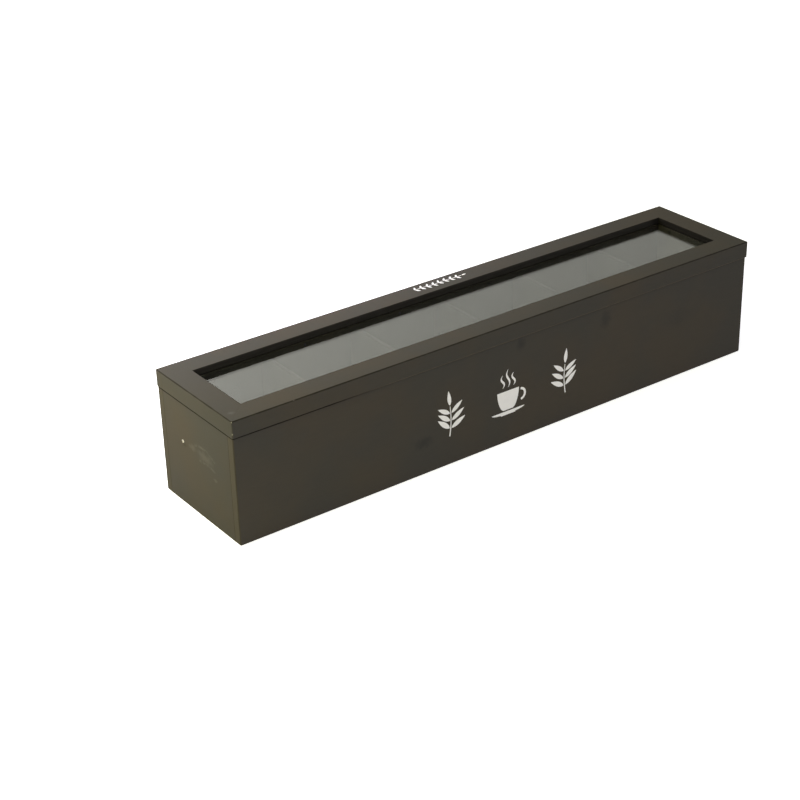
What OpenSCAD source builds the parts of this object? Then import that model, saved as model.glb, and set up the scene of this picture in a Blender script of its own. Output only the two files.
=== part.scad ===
// Long narrow tea bag box: six compartments in one row under a hinged, glazed lid.
// The origin is at the middle of the footprint, on the surface that the box stands on.
// X runs along the box, the front faces -Y and Z points up. Sizes are in millimetres.

/* [Box] */
// Length of the box below the lid
box_l = 429; // [320:1:520]
// Depth of the box below the lid, front to rear
box_d = 89.5; // [70:0.5:130]
// Height of the box below the lid
box_h = 74.5; // [50:0.5:120]
// Thickness of the front and rear walls
wall_t = 6; // [5.5:0.5:10]
// Thickness of the two end walls
end_t = 6; // [5:0.5:10]
// Thickness of the base panel
base_t = 3; // [2:0.5:6]
// Width of the rebate in the walls that the base panel is glued into
base_rebate = 3; // [2:0.25:4]

/* [Dividers] */
// Number of dividers, one less than the number of compartments
divider_count = 5; // [3:1:6]
// Thickness of a divider
divider_t = 3; // [2:0.5:5]
// Depth of the grooves in the walls that hold the dividers
groove_depth = 2; // [1:0.25:3]

/* [Lid] */
// Height of the lid frame
lid_h = 12; // [10:0.5:20]
// Width of the front and rear rails of the lid frame
rail_w = 17; // [14:0.5:24]
// Width of the left and right stiles of the lid frame
stile_w = 17; // [14:0.5:24]
// How far the lid stands out past the front wall
front_overhang = 1; // [0.5:0.25:4]
// How far the lid stands out past each end wall
end_overhang = 0.5; // [0.25:0.25:4]
// Gap between the box rim and the closed lid
seam_gap = 0.3; // [0.2:0.05:0.6]

/* [Window] */
// Thickness of the glass
glass_t = 2; // [1.5:0.5:3]
// Depth of the lip above the glass
lip_h = 5; // [3:0.5:6]
// Width of the rebate under the lip that holds the glass
glass_rebate = 5; // [4:0.5:6]
// Width of a glazing bead, across the rebate
bead_w = 4.8; // [3:0.1:6]
// How far the beads stop short of the underside of the lid
bead_setback = 0.3; // [0.2:0.1:0.6]

/* [Hinges] */
// Length of a hinge
hinge_l = 24; // [18:1:32]
// Length of the middle knuckle, which belongs to the lid
mid_knuckle_l = 9; // [6:0.5:12]
// Width of a leaf, from the pin to its far edge
leaf_w = 4.4; // [4:0.1:4.6]
// Thickness of a leaf
leaf_t = 0.8; // [0.6:0.1:1]
// Diameter of the knuckles
knuckle_d = 2.8; // [2.6:0.1:3]
// Diameter of the hinge pin
pin_d = 1.4; // [1:0.1:1.6]
// Distance of the pin from the rear face of the box
pin_inset = 0.8; // [0.7:0.05:1]
// Distance of the middle of each hinge from the end of the box
hinge_from_end = 39.5; // [30:0.5:55]
// Angle at which the open lid comes to rest on the rear edge of the box
open_angle = 100; // [92:1:110]

/* [Fasteners] */
// Diameter of the shank of a hinge screw
screw_d = 1.3; // [1:0.1:1.6]
// Diameter of the countersunk head of a hinge screw
screw_head_d = 2.2; // [2:0.1:2.4]
// Length of a hinge screw, head included
screw_l = 7; // [5:0.5:8]
// Distance between the two screws in a leaf
screw_spacing = 16; // [12:0.5:18]
// Diameter of the brads that pin the glazing beads
brad_d = 1.2; // [0.8:0.1:1.6]
// Diameter of the head of a brad
brad_head_d = 2; // [1.8:0.1:2.6]
// Length of a brad
brad_l = 9; // [7:0.5:12]
// Largest distance between two brads in a long bead
brad_pitch = 90; // [60:5:140]
// Largest distance between two brads in a short bead
short_brad_pitch = 40; // [30:5:60]

/* [Edges] */
// Radius of the eased outer edges
ease_r = 0.8; // [0.4:0.1:1.2]
// Radius of the edges that meet at the seam under the lid
seam_r = 0.4; // [0.2:0.1:0.6]

/* [Clearances] */
// Clearance between glued or pinned wooden pieces
wood_play = 0.1; // [0.05:0.05:0.2]
// Clearance round the glass in its rebate
glass_play = 0.4; // [0.2:0.1:0.8]
// Clearance round a metal leaf, screw or brad in the wood
metal_play = 0.05; // [0.03:0.01:0.08]
// Running clearance between the pin and the knuckles, at the radius
pin_play = 0.05; // [0.03:0.01:0.08]
// Clearance beside and round the knuckles
knuckle_play = 0.2; // [0.15:0.05:0.3]

/* [Hidden] */

$fn = 48;
// Overshoot of a cut past the face it opens
cut = 1;
// Flat steps in a quarter of an eased edge
ease_steps = 5;

// Colours
paint = [0.40, 0.375, 0.345];
inner_paint = [0.33, 0.31, 0.28];
glass_tint = [0.62, 0.66, 0.63, 0.35];
brass = [0.62, 0.50, 0.27];
steel = [0.62, 0.62, 0.60];

// Overall sizes of the lid
lid_l = box_l + 2 * end_overhang;
lid_d = box_d + front_overhang;
lid_low = box_h + seam_gap;
lid_high = lid_low + lid_h;

// The hinge axis lies in the middle of the seam, just inside the rear faces
knuckle_r = knuckle_d / 2;
seam_z = box_h + seam_gap / 2;
rear_y = (lid_d - (knuckle_r - pin_inset)) / 2;
axis_y = rear_y - pin_inset;
hinge_x = box_l / 2 - hinge_from_end;
leaf_gap = seam_gap * 2 / 3;
pin_head_h = 0.4;
pin_head_r = pin_d / 2 + 0.3;
// Each rear edge is bevelled by half the angle between the stops
stop_play = 1;
bevel_angle = (open_angle + stop_play) / 2;

// Faces of the box walls
front_y = rear_y - box_d;
inner_front_y = front_y + wall_t;
inner_rear_y = rear_y - wall_t;
inner_l = box_l - 2 * end_t;
inner_d = box_d - 2 * wall_t;
box_mid_y = (front_y + rear_y) / 2;

// Dividers split the inside into equal compartments
compartment_l = (inner_l - divider_count * divider_t) / (divider_count + 1);
divider_pitch = compartment_l + divider_t;

// The window and its rebate
lid_mid_y = rear_y - lid_d / 2;
window_l = lid_l - 2 * stile_w;
window_d = lid_d - 2 * rail_w;
glass_high = lid_high - lip_h;
glass_low = glass_high - glass_t;
bead_low = lid_low + bead_setback;
bead_mid_z = (bead_low + glass_low) / 2;
seat_l = window_l + 2 * glass_rebate;
seat_d = window_d + 2 * glass_rebate;
long_bead_l = seat_l - 2 * wood_play;
short_bead_l = seat_d - 2 * (wood_play + bead_w) - 2 * wood_play;
brad_head_h = 0.5;

// Points of a quarter circle that starts at the given angle
function quarter(cx, cy, r, start) =
    [for (i = [0 : ease_steps]) let (a = start + 90 * i / ease_steps) [cx + r * cos(a), cy + r * sin(a)]];

// Outline of a rectangle, centred across, with one radius at its low corners and one at its high ones
function eased_outline(half, low, high, low_r, high_r) = concat(
    quarter(half - low_r, low + low_r, low_r, 270),
    quarter(half - high_r, high - high_r, high_r, 0),
    quarter(high_r - half, high - high_r, high_r, 90),
    quarter(low_r - half, low + low_r, low_r, 180));

// Places along a line, evenly spread, no further apart than the pitch
function spread(length, end_margin, pitch) =
    let (run = length - 2 * end_margin, gaps = max(1, ceil(run / pitch)))
    [for (i = [0 : gaps]) -run / 2 + run * i / gaps];

// A block centred in X and Y whose twelve edges are eased
module eased_block(length, depth, low, high, low_r, high_r) {
    intersection() {
        translate([0, 0, low])
            linear_extrude(high - low)
                polygon(eased_outline(length / 2, -depth / 2, depth / 2, ease_r, ease_r));
        rotate([90, 0, 0])
            linear_extrude(depth, center = true)
                polygon(eased_outline(length / 2, low, high, low_r, high_r));
        rotate([90, 0, 90])
            linear_extrude(length, center = true)
                polygon(eased_outline(depth / 2, low, high, low_r, high_r));
    }
}

// The wedge that bevels both rear edges, with its point on the hinge axis
module rear_bevel() {
    reach = pin_inset + cut;
    translate([0, axis_y, seam_z])
        rotate([90, 0, 90])
            linear_extrude(lid_l + 2 * cut, center = true)
                polygon([[0, 0], [reach, -reach * tan(bevel_angle)], [reach, reach * tan(bevel_angle)]]);
}

// The outside of the closed box below the lid, as one block
module box_blank() {
    difference() {
        translate([0, box_mid_y, 0])
            eased_block(box_l, box_d, 0, box_h, ease_r, seam_r);
        rear_bevel();
    }
}

// The outside of the lid, as one block
module lid_blank() {
    difference() {
        translate([0, lid_mid_y, 0])
            eased_block(lid_l, lid_d, lid_low, lid_high, seam_r, ease_r);
        rear_bevel();
    }
}

// A square-edged block between two corners
module span_block(low, high) {
    translate(low)
        cube(high - low);
}

// The space of the base panel and its rebate, which stops short of the outer ends
module base_seat(play) {
    side = base_rebate - play;
    span_block(
        [-inner_l / 2 - side, inner_front_y - side, -cut],
        [inner_l / 2 + side, inner_rear_y + side, base_t]);
}

// The grooves that the dividers slide down into
module divider_grooves() {
    half = divider_t / 2 + wood_play;
    for (i = [1 : divider_count]) {
        x = divider_x(i);
        span_block(
            [x - half, inner_front_y - groove_depth, base_t - cut],
            [x + half, inner_rear_y + groove_depth, box_h + cut]);
    }
}

function divider_x(i) = (i - (divider_count + 1) / 2) * divider_pitch;

// Places its children at a hinge, with X along the pin
module at_hinge(side) {
    translate([side * hinge_x, axis_y, seam_z])
        children();
}

// Places its children at both screws of a leaf, with the leaf's face at z = 0
module at_screws() {
    screw_y = -(knuckle_r + knuckle_play + leaf_w) / 2;
    for (sx = [-1, 1])
        translate([sx * screw_spacing / 2, screw_y, -leaf_gap / 2])
            children();
}

// A countersunk screw that points down, or the hole that it goes into
module screw_body(grow) {
    head_r = screw_head_d / 2 + grow;
    shank_r = screw_d / 2 + grow;
    head_h = (screw_head_d - screw_d) / 2;
    translate([0, 0, -screw_l - grow])
        cylinder(r = shank_r, h = screw_l + grow);
    translate([0, 0, -head_h])
        cylinder(r1 = shank_r, r2 = head_r, h = head_h);
    translate([0, 0, -grow])
        cylinder(r = head_r, h = 2 * grow);
}

// The recess in the wood below the axis: a mortise for the leaf, a pocket for the knuckles and screw holes
module leaf_recess() {
    mortise_half = hinge_l / 2 + metal_play;
    pocket_half = hinge_l / 2 + pin_head_h + knuckle_play;
    pocket_r = knuckle_r + knuckle_play;
    span_block(
        [-mortise_half, -leaf_w - metal_play, -leaf_gap / 2 - leaf_t],
        [mortise_half, 0, cut]);
    span_block(
        [-pocket_half, -pocket_r, -pocket_r],
        [pocket_half, pin_inset + cut, cut]);
    at_screws()
        screw_hole();
}

// The hole in the wood for the shank of a screw
module screw_hole() {
    translate([0, 0, -screw_l - metal_play])
        cylinder(d = screw_d + 2 * metal_play, h = screw_l);
}

// Turns what lies below the hinge axis over, to the lid's side
module to_lid() {
    mirror([0, 0, 1])
        children();
}

module front_wall() {
    color(paint) difference() {
        intersection() {
            box_blank();
            span_block([-box_l, front_y - cut, -cut], [box_l, inner_front_y, box_h + cut]);
        }
        base_seat(0);
        divider_grooves();
    }
}

module rear_wall() {
    color(paint) difference() {
        intersection() {
            box_blank();
            span_block([-box_l, inner_rear_y, -cut], [box_l, rear_y + cut, box_h + cut]);
        }
        base_seat(0);
        divider_grooves();
        for (side = [-1, 1])
            at_hinge(side)
                leaf_recess();
    }
}

// The left end wall has a side of -1 and the right one has 1
module end_wall(side) {
    low_x = side < 0 ? -box_l / 2 - cut : inner_l / 2;
    high_x = side < 0 ? -inner_l / 2 : box_l / 2 + cut;
    color(paint) difference() {
        intersection() {
            box_blank();
            span_block([low_x, inner_front_y, -cut], [high_x, inner_rear_y, box_h + cut]);
        }
        base_seat(0);
    }
}

module base_panel() {
    color(inner_paint) intersection() {
        base_seat(wood_play);
        span_block([-box_l, -box_d, 0], [box_l, box_d, base_t]);
    }
}

module divider(i) {
    x = divider_x(i);
    reach = groove_depth - wood_play;
    color(inner_paint)
        span_block(
            [x - divider_t / 2, inner_front_y - reach, base_t],
            [x + divider_t / 2, inner_rear_y + reach, box_h]);
}

// The hollow under the lip of the lid frame, where the glass and its beads go
module glass_seat() {
    translate([0, lid_mid_y, 0])
        span_block(
            [-seat_l / 2, -seat_d / 2, lid_low - cut],
            [seat_l / 2, seat_d / 2, glass_high]);
}

// A piece of the lid frame: the outline is its plan, mitred at both ends
module frame_piece(outline) {
    color(paint) difference() {
        intersection() {
            lid_blank();
            translate([0, lid_mid_y, lid_low - cut])
                linear_extrude(lid_h + 2 * cut)
                    polygon(outline);
        }
        glass_seat();
        brad_holes();
    }
}

// Plan of a rail: the outer edge lies at the lid's edge and the inner one at the window's
function rail_outline(side) = [
    [-lid_l / 2, side * lid_d / 2],
    [lid_l / 2, side * lid_d / 2],
    [window_l / 2, side * window_d / 2],
    [-window_l / 2, side * window_d / 2]];

// Plan of a stile, in the same way
function stile_outline(side) = [
    [side * lid_l / 2, -lid_d / 2],
    [side * lid_l / 2, lid_d / 2],
    [side * window_l / 2, window_d / 2],
    [side * window_l / 2, -window_d / 2]];

module lid_front_rail() {
    frame_piece(rail_outline(-1));
}

module lid_rear_rail() {
    color(paint) difference() {
        frame_piece(rail_outline(1));
        for (side = [-1, 1])
            at_hinge(side)
                to_lid()
                    leaf_recess();
    }
}

module lid_left_stile() {
    frame_piece(stile_outline(-1));
}

module lid_right_stile() {
    frame_piece(stile_outline(1));
}

module glass_pane() {
    half_l = seat_l / 2 - glass_play;
    half_d = seat_d / 2 - glass_play;
    color(glass_tint)
        translate([0, lid_mid_y, 0])
            span_block([-half_l, -half_d, glass_low], [half_l, half_d, glass_high]);
}

// A long bead lies along the front rail (side -1) or the rear rail (side 1)
module long_bead(side) {
    outer_y = side * (seat_d / 2 - wood_play);
    inner_y = outer_y - side * bead_w;
    color(inner_paint) difference() {
        translate([0, lid_mid_y, 0])
            span_block(
                [-long_bead_l / 2, min(outer_y, inner_y), bead_low],
                [long_bead_l / 2, max(outer_y, inner_y), glass_low]);
        brad_holes();
    }
}

// A short bead lies between the long ones, on the left (side -1) or on the right (side 1)
module short_bead(side) {
    outer_x = side * (seat_l / 2 - wood_play);
    inner_x = outer_x - side * bead_w;
    color(inner_paint) difference() {
        translate([0, lid_mid_y, 0])
            span_block(
                [min(outer_x, inner_x), -short_bead_l / 2, bead_low],
                [max(outer_x, inner_x), short_bead_l / 2, glass_low]);
        brad_holes();
    }
}

// A brad that points along +X from the inner face of a bead, or the hole that it goes into
module brad(grow) {
    rotate([0, 90, 0]) {
        cylinder(d = brad_d + 2 * grow, h = brad_l + grow);
        translate([0, 0, -grow])
            cylinder(d = brad_head_d + 2 * grow, h = brad_head_h + 2 * grow);
    }
}

// Places its children at every brad, with X pointing out through the bead
module at_brads() {
    end_margin = 12;
    long_face = seat_d / 2 - wood_play - bead_w;
    short_face = seat_l / 2 - wood_play - bead_w;
    translate([0, lid_mid_y, bead_mid_z]) {
        for (side = [-1, 1], x = spread(long_bead_l, end_margin, brad_pitch))
            translate([x, side * long_face, 0])
                rotate(side * 90)
                    children();
        for (side = [-1, 1], y = spread(short_bead_l, end_margin, short_brad_pitch))
            translate([side * short_face, y, 0])
                rotate(side < 0 ? 180 : 0)
                    children();
    }
}

module brad_holes() {
    at_brads()
        brad(metal_play);
}

module bead_brads() {
    color(steel)
        at_brads()
            brad(0);
}

// Knuckles along the pin between pairs of places
module knuckles(spans) {
    for (s = spans)
        translate([s[0], 0, 0])
            rotate([0, 90, 0])
                cylinder(r = knuckle_r, h = s[1] - s[0]);
}

// A leaf that lies below the axis, with its own knuckles, clear of those of the other leaf
module leaf(own, other) {
    clear_r = knuckle_r + knuckle_play;
    color(brass) difference() {
        union() {
            difference() {
                span_block(
                    [-hinge_l / 2, -leaf_w, -leaf_gap / 2 - leaf_t],
                    [hinge_l / 2, 0, -leaf_gap / 2]);
                for (s = other)
                    span_block(
                        [s[0] - knuckle_play / 2, -clear_r, -knuckle_d],
                        [s[1] + knuckle_play / 2, cut, knuckle_d]);
            }
            knuckles(own);
        }
        translate([-hinge_l / 2 - cut, 0, 0])
            rotate([0, 90, 0])
                cylinder(r = pin_d / 2 + pin_play, h = hinge_l + 2 * cut);
        at_screws()
            screw_body(metal_play);
    }
}

// The places of the knuckles: the middle one turns with the lid
mid_span = [[-mid_knuckle_l / 2 + knuckle_play / 2, mid_knuckle_l / 2 - knuckle_play / 2]];
outer_spans = [
    [-hinge_l / 2, -mid_knuckle_l / 2 - knuckle_play / 2],
    [mid_knuckle_l / 2 + knuckle_play / 2, hinge_l / 2]];

module hinge_box_leaf(side) {
    at_hinge(side)
        leaf(outer_spans, mid_span);
}

module hinge_lid_leaf(side) {
    at_hinge(side)
        to_lid()
            leaf(mid_span, outer_spans);
}

// The pin runs through all three knuckles and has a small head at each end
module hinge_pin(side) {
    color(brass)
        at_hinge(side)
            rotate([0, 90, 0]) {
                cylinder(d = pin_d, h = hinge_l, center = true);
                for (end = [-1, 1])
                    translate([0, 0, end * (hinge_l + pin_head_h) / 2])
                        cylinder(r = pin_head_r, h = pin_head_h, center = true);
            }
}

// A screw with a slot across its head
module hinge_screw() {
    slot_w = 0.4;
    slot_h = 0.3;
    difference() {
        screw_body(0);
        translate([-screw_head_d, -slot_w / 2, -slot_h])
            cube([2 * screw_head_d, slot_w, slot_h + cut]);
    }
}

module hinge_box_screws() {
    color(brass)
        for (side = [-1, 1])
            at_hinge(side)
                at_screws()
                    hinge_screw();
}

module hinge_lid_screws() {
    color(brass)
        for (side = [-1, 1])
            at_hinge(side)
                to_lid()
                    at_screws()
                        hinge_screw();
}

front_wall();
rear_wall();
end_wall(-1);  // left_end
end_wall(1);  // right_end
base_panel();
for (i = [1 : divider_count])
    divider(i);
lid_front_rail();
lid_rear_rail();
lid_left_stile();
lid_right_stile();
glass_pane();
long_bead(-1);  // bead_front
long_bead(1);  // bead_rear
short_bead(-1);  // bead_left
short_bead(1);  // bead_right
bead_brads();
hinge_box_leaf(-1);  // hinge_left_box_leaf
hinge_lid_leaf(-1);  // hinge_left_lid_leaf
hinge_pin(-1);  // hinge_left_pin
hinge_box_leaf(1);  // hinge_right_box_leaf
hinge_lid_leaf(1);  // hinge_right_lid_leaf
hinge_pin(1);  // hinge_right_pin
hinge_box_screws();
hinge_lid_screws();
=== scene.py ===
"""Dresses a long, narrow tea bag box: painted wooden walls, six compartments and a hinged, glazed lid.

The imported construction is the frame. Every size and place here comes from its nodes or from a named size of
the part that it belongs to. Lengths are in metres, and MM turns a number of millimetres into metres.
"""

import logging
import math
from collections.abc import Callable, Iterable, Sequence
from dataclasses import dataclass, field
from enum import Enum
from functools import reduce

import bmesh
import bpy
from bpy.types import Material, Mesh, Node, NodeSocket, NodeTree, Object
from mathutils import Matrix, Vector


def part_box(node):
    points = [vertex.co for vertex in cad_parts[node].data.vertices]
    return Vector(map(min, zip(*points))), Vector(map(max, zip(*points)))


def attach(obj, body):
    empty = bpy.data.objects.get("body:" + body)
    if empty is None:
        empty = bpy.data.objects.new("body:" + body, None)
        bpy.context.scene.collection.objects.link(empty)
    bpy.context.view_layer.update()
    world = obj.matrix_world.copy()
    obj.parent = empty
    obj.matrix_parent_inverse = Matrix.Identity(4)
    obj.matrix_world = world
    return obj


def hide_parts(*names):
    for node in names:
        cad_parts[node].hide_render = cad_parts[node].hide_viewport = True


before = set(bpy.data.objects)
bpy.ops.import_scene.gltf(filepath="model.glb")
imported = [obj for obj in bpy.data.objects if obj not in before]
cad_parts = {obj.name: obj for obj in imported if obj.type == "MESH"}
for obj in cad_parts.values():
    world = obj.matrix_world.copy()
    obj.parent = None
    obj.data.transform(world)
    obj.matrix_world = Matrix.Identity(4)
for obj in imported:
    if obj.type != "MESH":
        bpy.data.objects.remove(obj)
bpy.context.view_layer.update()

MM = 0.001
Colour = tuple[float, float, float, float]
Point = tuple[float, float]
log = logging.getLogger("tea_box")


class Body(Enum):
    """The two bodies that the hinges join."""

    BOX = "box"
    LID = "lid"


class Finish(Enum):
    """The material slots of the record."""

    OUTER = "outer_paint"
    INNER = "inner_paint"
    GLASS = "glass"
    BRASS = "brass"
    STEEL = "steel"


class Side(Enum):
    """A side of the box, as the direction that it faces in plan."""

    FRONT = (0, -1)
    RIGHT = (1, 0)
    REAR = (0, 1)
    LEFT = (-1, 0)

    @property
    def outward(self) -> Vector:
        """The direction out of the box."""
        return Vector((*self.value, 0.0))

    @property
    def along(self) -> Vector:
        """The direction along the side, with the outside on its right."""
        return Vector((-self.value[1], self.value[0], 0.0))

    @property
    def is_long(self) -> bool:
        """Whether the side runs the length of the box."""
        return self.value[0] == 0

    def label(self) -> str:
        """The side's name in plain words."""
        return self.name.lower()


@dataclass(frozen=True)
class Span:
    """The space between a lowest and a highest corner."""

    low: Vector
    high: Vector

    @classmethod
    def of(cls, *nodes: str) -> "Span":
        """The space that some nodes of the frame fill together.

        Args:
            nodes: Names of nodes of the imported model.

        Returns:
            The space between their lowest and highest corners.
        """
        corners = [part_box(node) for node in nodes]
        low = Vector(min(pair[0][axis] for pair in corners) for axis in range(3))
        high = Vector(max(pair[1][axis] for pair in corners) for axis in range(3))
        return cls(low, high)

    @property
    def middle(self) -> Vector:
        """The point halfway between the corners."""
        return (self.low + self.high) / 2

    @property
    def size(self) -> Vector:
        """The length along each axis."""
        return self.high - self.low

    def grown(self, x: float = 0.0, y: float = 0.0, z: float = 0.0) -> "Span":
        """The same space, larger on each side by the given amounts."""
        margin = Vector((x, y, z))
        return Span(self.low - margin, self.high + margin)

    def moved_face(self, axis: int, end: int, place: float) -> "Span":
        """The same space with one face moved.

        Args:
            axis: 0, 1 or 2 for X, Y or Z.
            end: -1 for the low face and 1 for the high one.
            place: Where the face goes along the axis.

        Returns:
            The new space.
        """
        corner = (self.low if end < 0 else self.high).copy()
        corner[axis] = place
        return Span(corner, self.high) if end < 0 else Span(self.low, corner)


def hex_colour(text: str) -> Colour:
    """Turns a colour such as "#444139" into linear red, green, blue and alpha."""
    levels = [int(text[i : i + 2], 16) / 255 for i in (1, 3, 5)]
    linear = [v / 12.92 if v <= 0.04045 else ((v + 0.055) / 1.055) ** 2.4 for v in levels]
    return (*linear, 1.0)


def tinted(colour: Colour, red: float, green: float, blue: float) -> Colour:
    """A colour with each channel scaled."""
    return (colour[0] * red, colour[1] * green, colour[2] * blue, 1.0)


class Graph:
    """Builds the nodes of one tree with short calls."""

    def __init__(self, tree: NodeTree) -> None:
        """Holds the tree that the calls add to."""
        self.tree = tree

    def node(self, kind: str, feeds: dict | None = None, **settings: object) -> Node:
        """Adds a node.

        Args:
            kind: The node's type name.
            feeds: A value or a socket for each input, by name or by number.
            settings: Values for the node's own properties.

        Returns:
            The new node.
        """
        made = self.tree.nodes.new(kind)
        for name, value in settings.items():
            setattr(made, name, value)
        for key, value in (feeds or {}).items():
            self.feed(made.inputs[key], value)
        return made

    def out(self, kind: str, feeds: dict | None = None, **settings: object) -> NodeSocket:
        """Adds a node and gives its first output."""
        return self.node(kind, feeds, **settings).outputs[0]

    def feed(self, socket: NodeSocket, value: object) -> None:
        """Links a socket to an input, or sets the input's own value."""
        if isinstance(value, NodeSocket):
            self.tree.links.new(value, socket)
        else:
            socket.default_value = value

    def math(self, operation: str, *values: object, clamp: bool = False) -> NodeSocket:
        """The result of a Math node on one, two or three values."""
        return self.out("ShaderNodeMath", dict(enumerate(values)), operation=operation, use_clamp=clamp)

    def times(self, *values: object) -> NodeSocket:
        """Several values multiplied together."""
        return reduce(lambda a, b: self.math("MULTIPLY", a, b), values)

    def minus(self, value: object, taken: object) -> NodeSocket:
        """The difference of two values."""
        return self.math("SUBTRACT", value, taken)

    def line(self, value: object, slope: object, start: object) -> NodeSocket:
        """A value times a slope, plus a start."""
        return self.math("MULTIPLY_ADD", value, slope, start)

    def lowest(self, *values: NodeSocket) -> NodeSocket:
        """The lowest of several values."""
        return reduce(lambda a, b: self.math("MINIMUM", a, b), values)

    def highest(self, *values: NodeSocket) -> NodeSocket:
        """The highest of several values."""
        return reduce(lambda a, b: self.math("MAXIMUM", a, b), values)

    def size(self, value: NodeSocket) -> NodeSocket:
        """A value without its sign."""
        return self.math("ABSOLUTE", value)

    def xyz(self, x: object = 0.0, y: object = 0.0, z: object = 0.0) -> NodeSocket:
        """A vector from its three parts."""
        return self.out("ShaderNodeCombineXYZ", {"X": x, "Y": y, "Z": z})

    def place(self) -> NodeSocket:
        """The place on a piece, in metres from the frame's origin."""
        return self.node("ShaderNodeTexCoord").outputs["Object"]

    def vector(self, operation: str, *values: object) -> NodeSocket:
        """The vector result of a Vector Math node."""
        made = self.node("ShaderNodeVectorMath", dict(enumerate(values)), operation=operation)
        return made.outputs["Value" if operation in ("LENGTH", "DISTANCE", "DOT_PRODUCT") else "Vector"]

    def scaled(self, colour: object, factor: NodeSocket) -> NodeSocket:
        """A colour or a vector times a number."""
        return self.out("ShaderNodeVectorMath", {0: colour, "Scale": factor}, operation="SCALE")

    def ramp(
        self, value: object, start: float, end: float, low: float = 0.0, high: float = 1.0
    ) -> NodeSocket:
        """A smooth step: low at start and beyond it, high at end and beyond it."""
        flip = start > end
        feeds = {
            "Value": value,
            "From Min": end if flip else start,
            "From Max": start if flip else end,
            "To Min": high if flip else low,
            "To Max": low if flip else high,
        }
        return self.out("ShaderNodeMapRange", feeds, interpolation_type="SMOOTHSTEP")

    def mix(self, factor: object, low: object, high: object) -> NodeSocket:
        """A blend of two colours."""
        made = self.node("ShaderNodeMix", {0: factor, 6: low, 7: high}, data_type="RGBA")
        return made.outputs[2]

    def noise(
        self, where: NodeSocket, grain: float, detail: float = 2.0, stretch: Sequence[float] = (1, 1, 1)
    ) -> NodeSocket:
        """Soft noise from 0 to 1.

        Args:
            where: The coordinates to read.
            grain: Size of a patch, in metres.
            detail: How many finer layers are added.
            stretch: How many times longer a patch is along each axis.

        Returns:
            The noise value.
        """
        scale = [1 / (grain * s) for s in stretch]
        place = self.out("ShaderNodeMapping", {"Vector": where, "Scale": scale})
        return self.out("ShaderNodeTexNoise", {"Vector": place, "Scale": 1.0, "Detail": detail})

    def split(self, vector: NodeSocket) -> list[NodeSocket]:
        """The three parts of a vector."""
        return list(self.node("ShaderNodeSeparateXYZ", {0: vector}).outputs)

    def middle_of(self, a: NodeSocket, b: NodeSocket, c: NodeSocket) -> NodeSocket:
        """The middle one of three values."""
        return self.highest(self.lowest(a, b), self.lowest(self.highest(a, b), c))

    def gap(self, value: NodeSocket, middle: float, half: float) -> NodeSocket:
        """How far a value lies inside the band about a middle, and below zero outside it."""
        return self.minus(half, self.size(self.minus(value, middle)))

    def inside(self, where: NodeSocket, span: Span) -> list[NodeSocket]:
        """How far a place lies inside a space along each axis, and below zero outside it."""
        parts = enumerate(self.split(where))
        return [self.gap(value, span.middle[axis], span.size[axis] / 2) for axis, value in parts]


@dataclass
class Look:
    """What a surface looks like so far: a colour, a roughness and a height in its own unit."""

    colour: NodeSocket
    roughness: NodeSocket
    height: NodeSocket

    def coloured(self, colour: NodeSocket) -> "Look":
        """The same look in another colour."""
        return Look(colour, self.roughness, self.height)

    def dress(self, graph: Graph, shader: Node, unit: float) -> None:
        """Feeds the look to a material's shader, with its height in a unit of so many metres."""
        bump = graph.node("ShaderNodeBump", {"Strength": 1.0, "Distance": unit, "Height": self.height})
        graph.feed(shader.inputs["Base Color"], self.colour)
        graph.feed(shader.inputs["Roughness"], self.roughness)
        graph.feed(shader.inputs["Normal"], bump.outputs["Normal"])


@dataclass(frozen=True)
class Smudge:
    """A soft, darker or paler patch on the paint."""

    middle: tuple[float, float, float]
    size: tuple[float, float, float]
    tint: Colour
    strength: float = 0.5
    sheen: float = 0.0
    raggedness: float = 0.9
    fade: Point = (1.35, 0.55)

    def put_on(self, graph: Graph, where: NodeSocket, look: Look) -> Look:
        """Lays the patch over a look."""
        offset = graph.vector("DIVIDE", graph.vector("SUBTRACT", where, self.middle), self.size)
        grain = 0.35 * min(self.size) + 1 * MM
        ragged = graph.times(graph.noise(where, grain, 3.0), self.raggedness)
        reach = graph.math("ADD", graph.vector("LENGTH", offset), ragged)
        mask = graph.ramp(reach, *self.fade, 0.0, self.strength)
        rough = graph.line(mask, self.sheen, look.roughness)
        return Look(graph.mix(mask, look.colour, self.tint), rough, look.height)


@dataclass(frozen=True)
class Chip:
    """A spot where the paint is knocked off down to the pale wood or primer."""

    middle: tuple[float, float, float]
    size: tuple[float, float, float]
    bare: Colour
    depth: float = 0.15
    raggedness: float = 2.4
    rim: Point = (2.0, 1.8)
    bare_roughness: float = 0.8

    def put_on(self, graph: Graph, where: NodeSocket, look: Look) -> Look:
        """Cuts the chip into a look."""
        offset = graph.vector("DIVIDE", graph.vector("SUBTRACT", where, self.middle), self.size)
        ragged = graph.times(graph.noise(where, 0.9 * MM, 4.0), self.raggedness)
        reach = graph.math("ADD", graph.vector("LENGTH", offset), ragged)
        mask = graph.ramp(reach, *self.rim)
        height = graph.line(mask, -self.depth, look.height)
        rough = graph.highest(look.roughness, graph.times(mask, self.bare_roughness))
        return Look(graph.mix(mask, look.colour, self.bare), rough, height)


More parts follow.
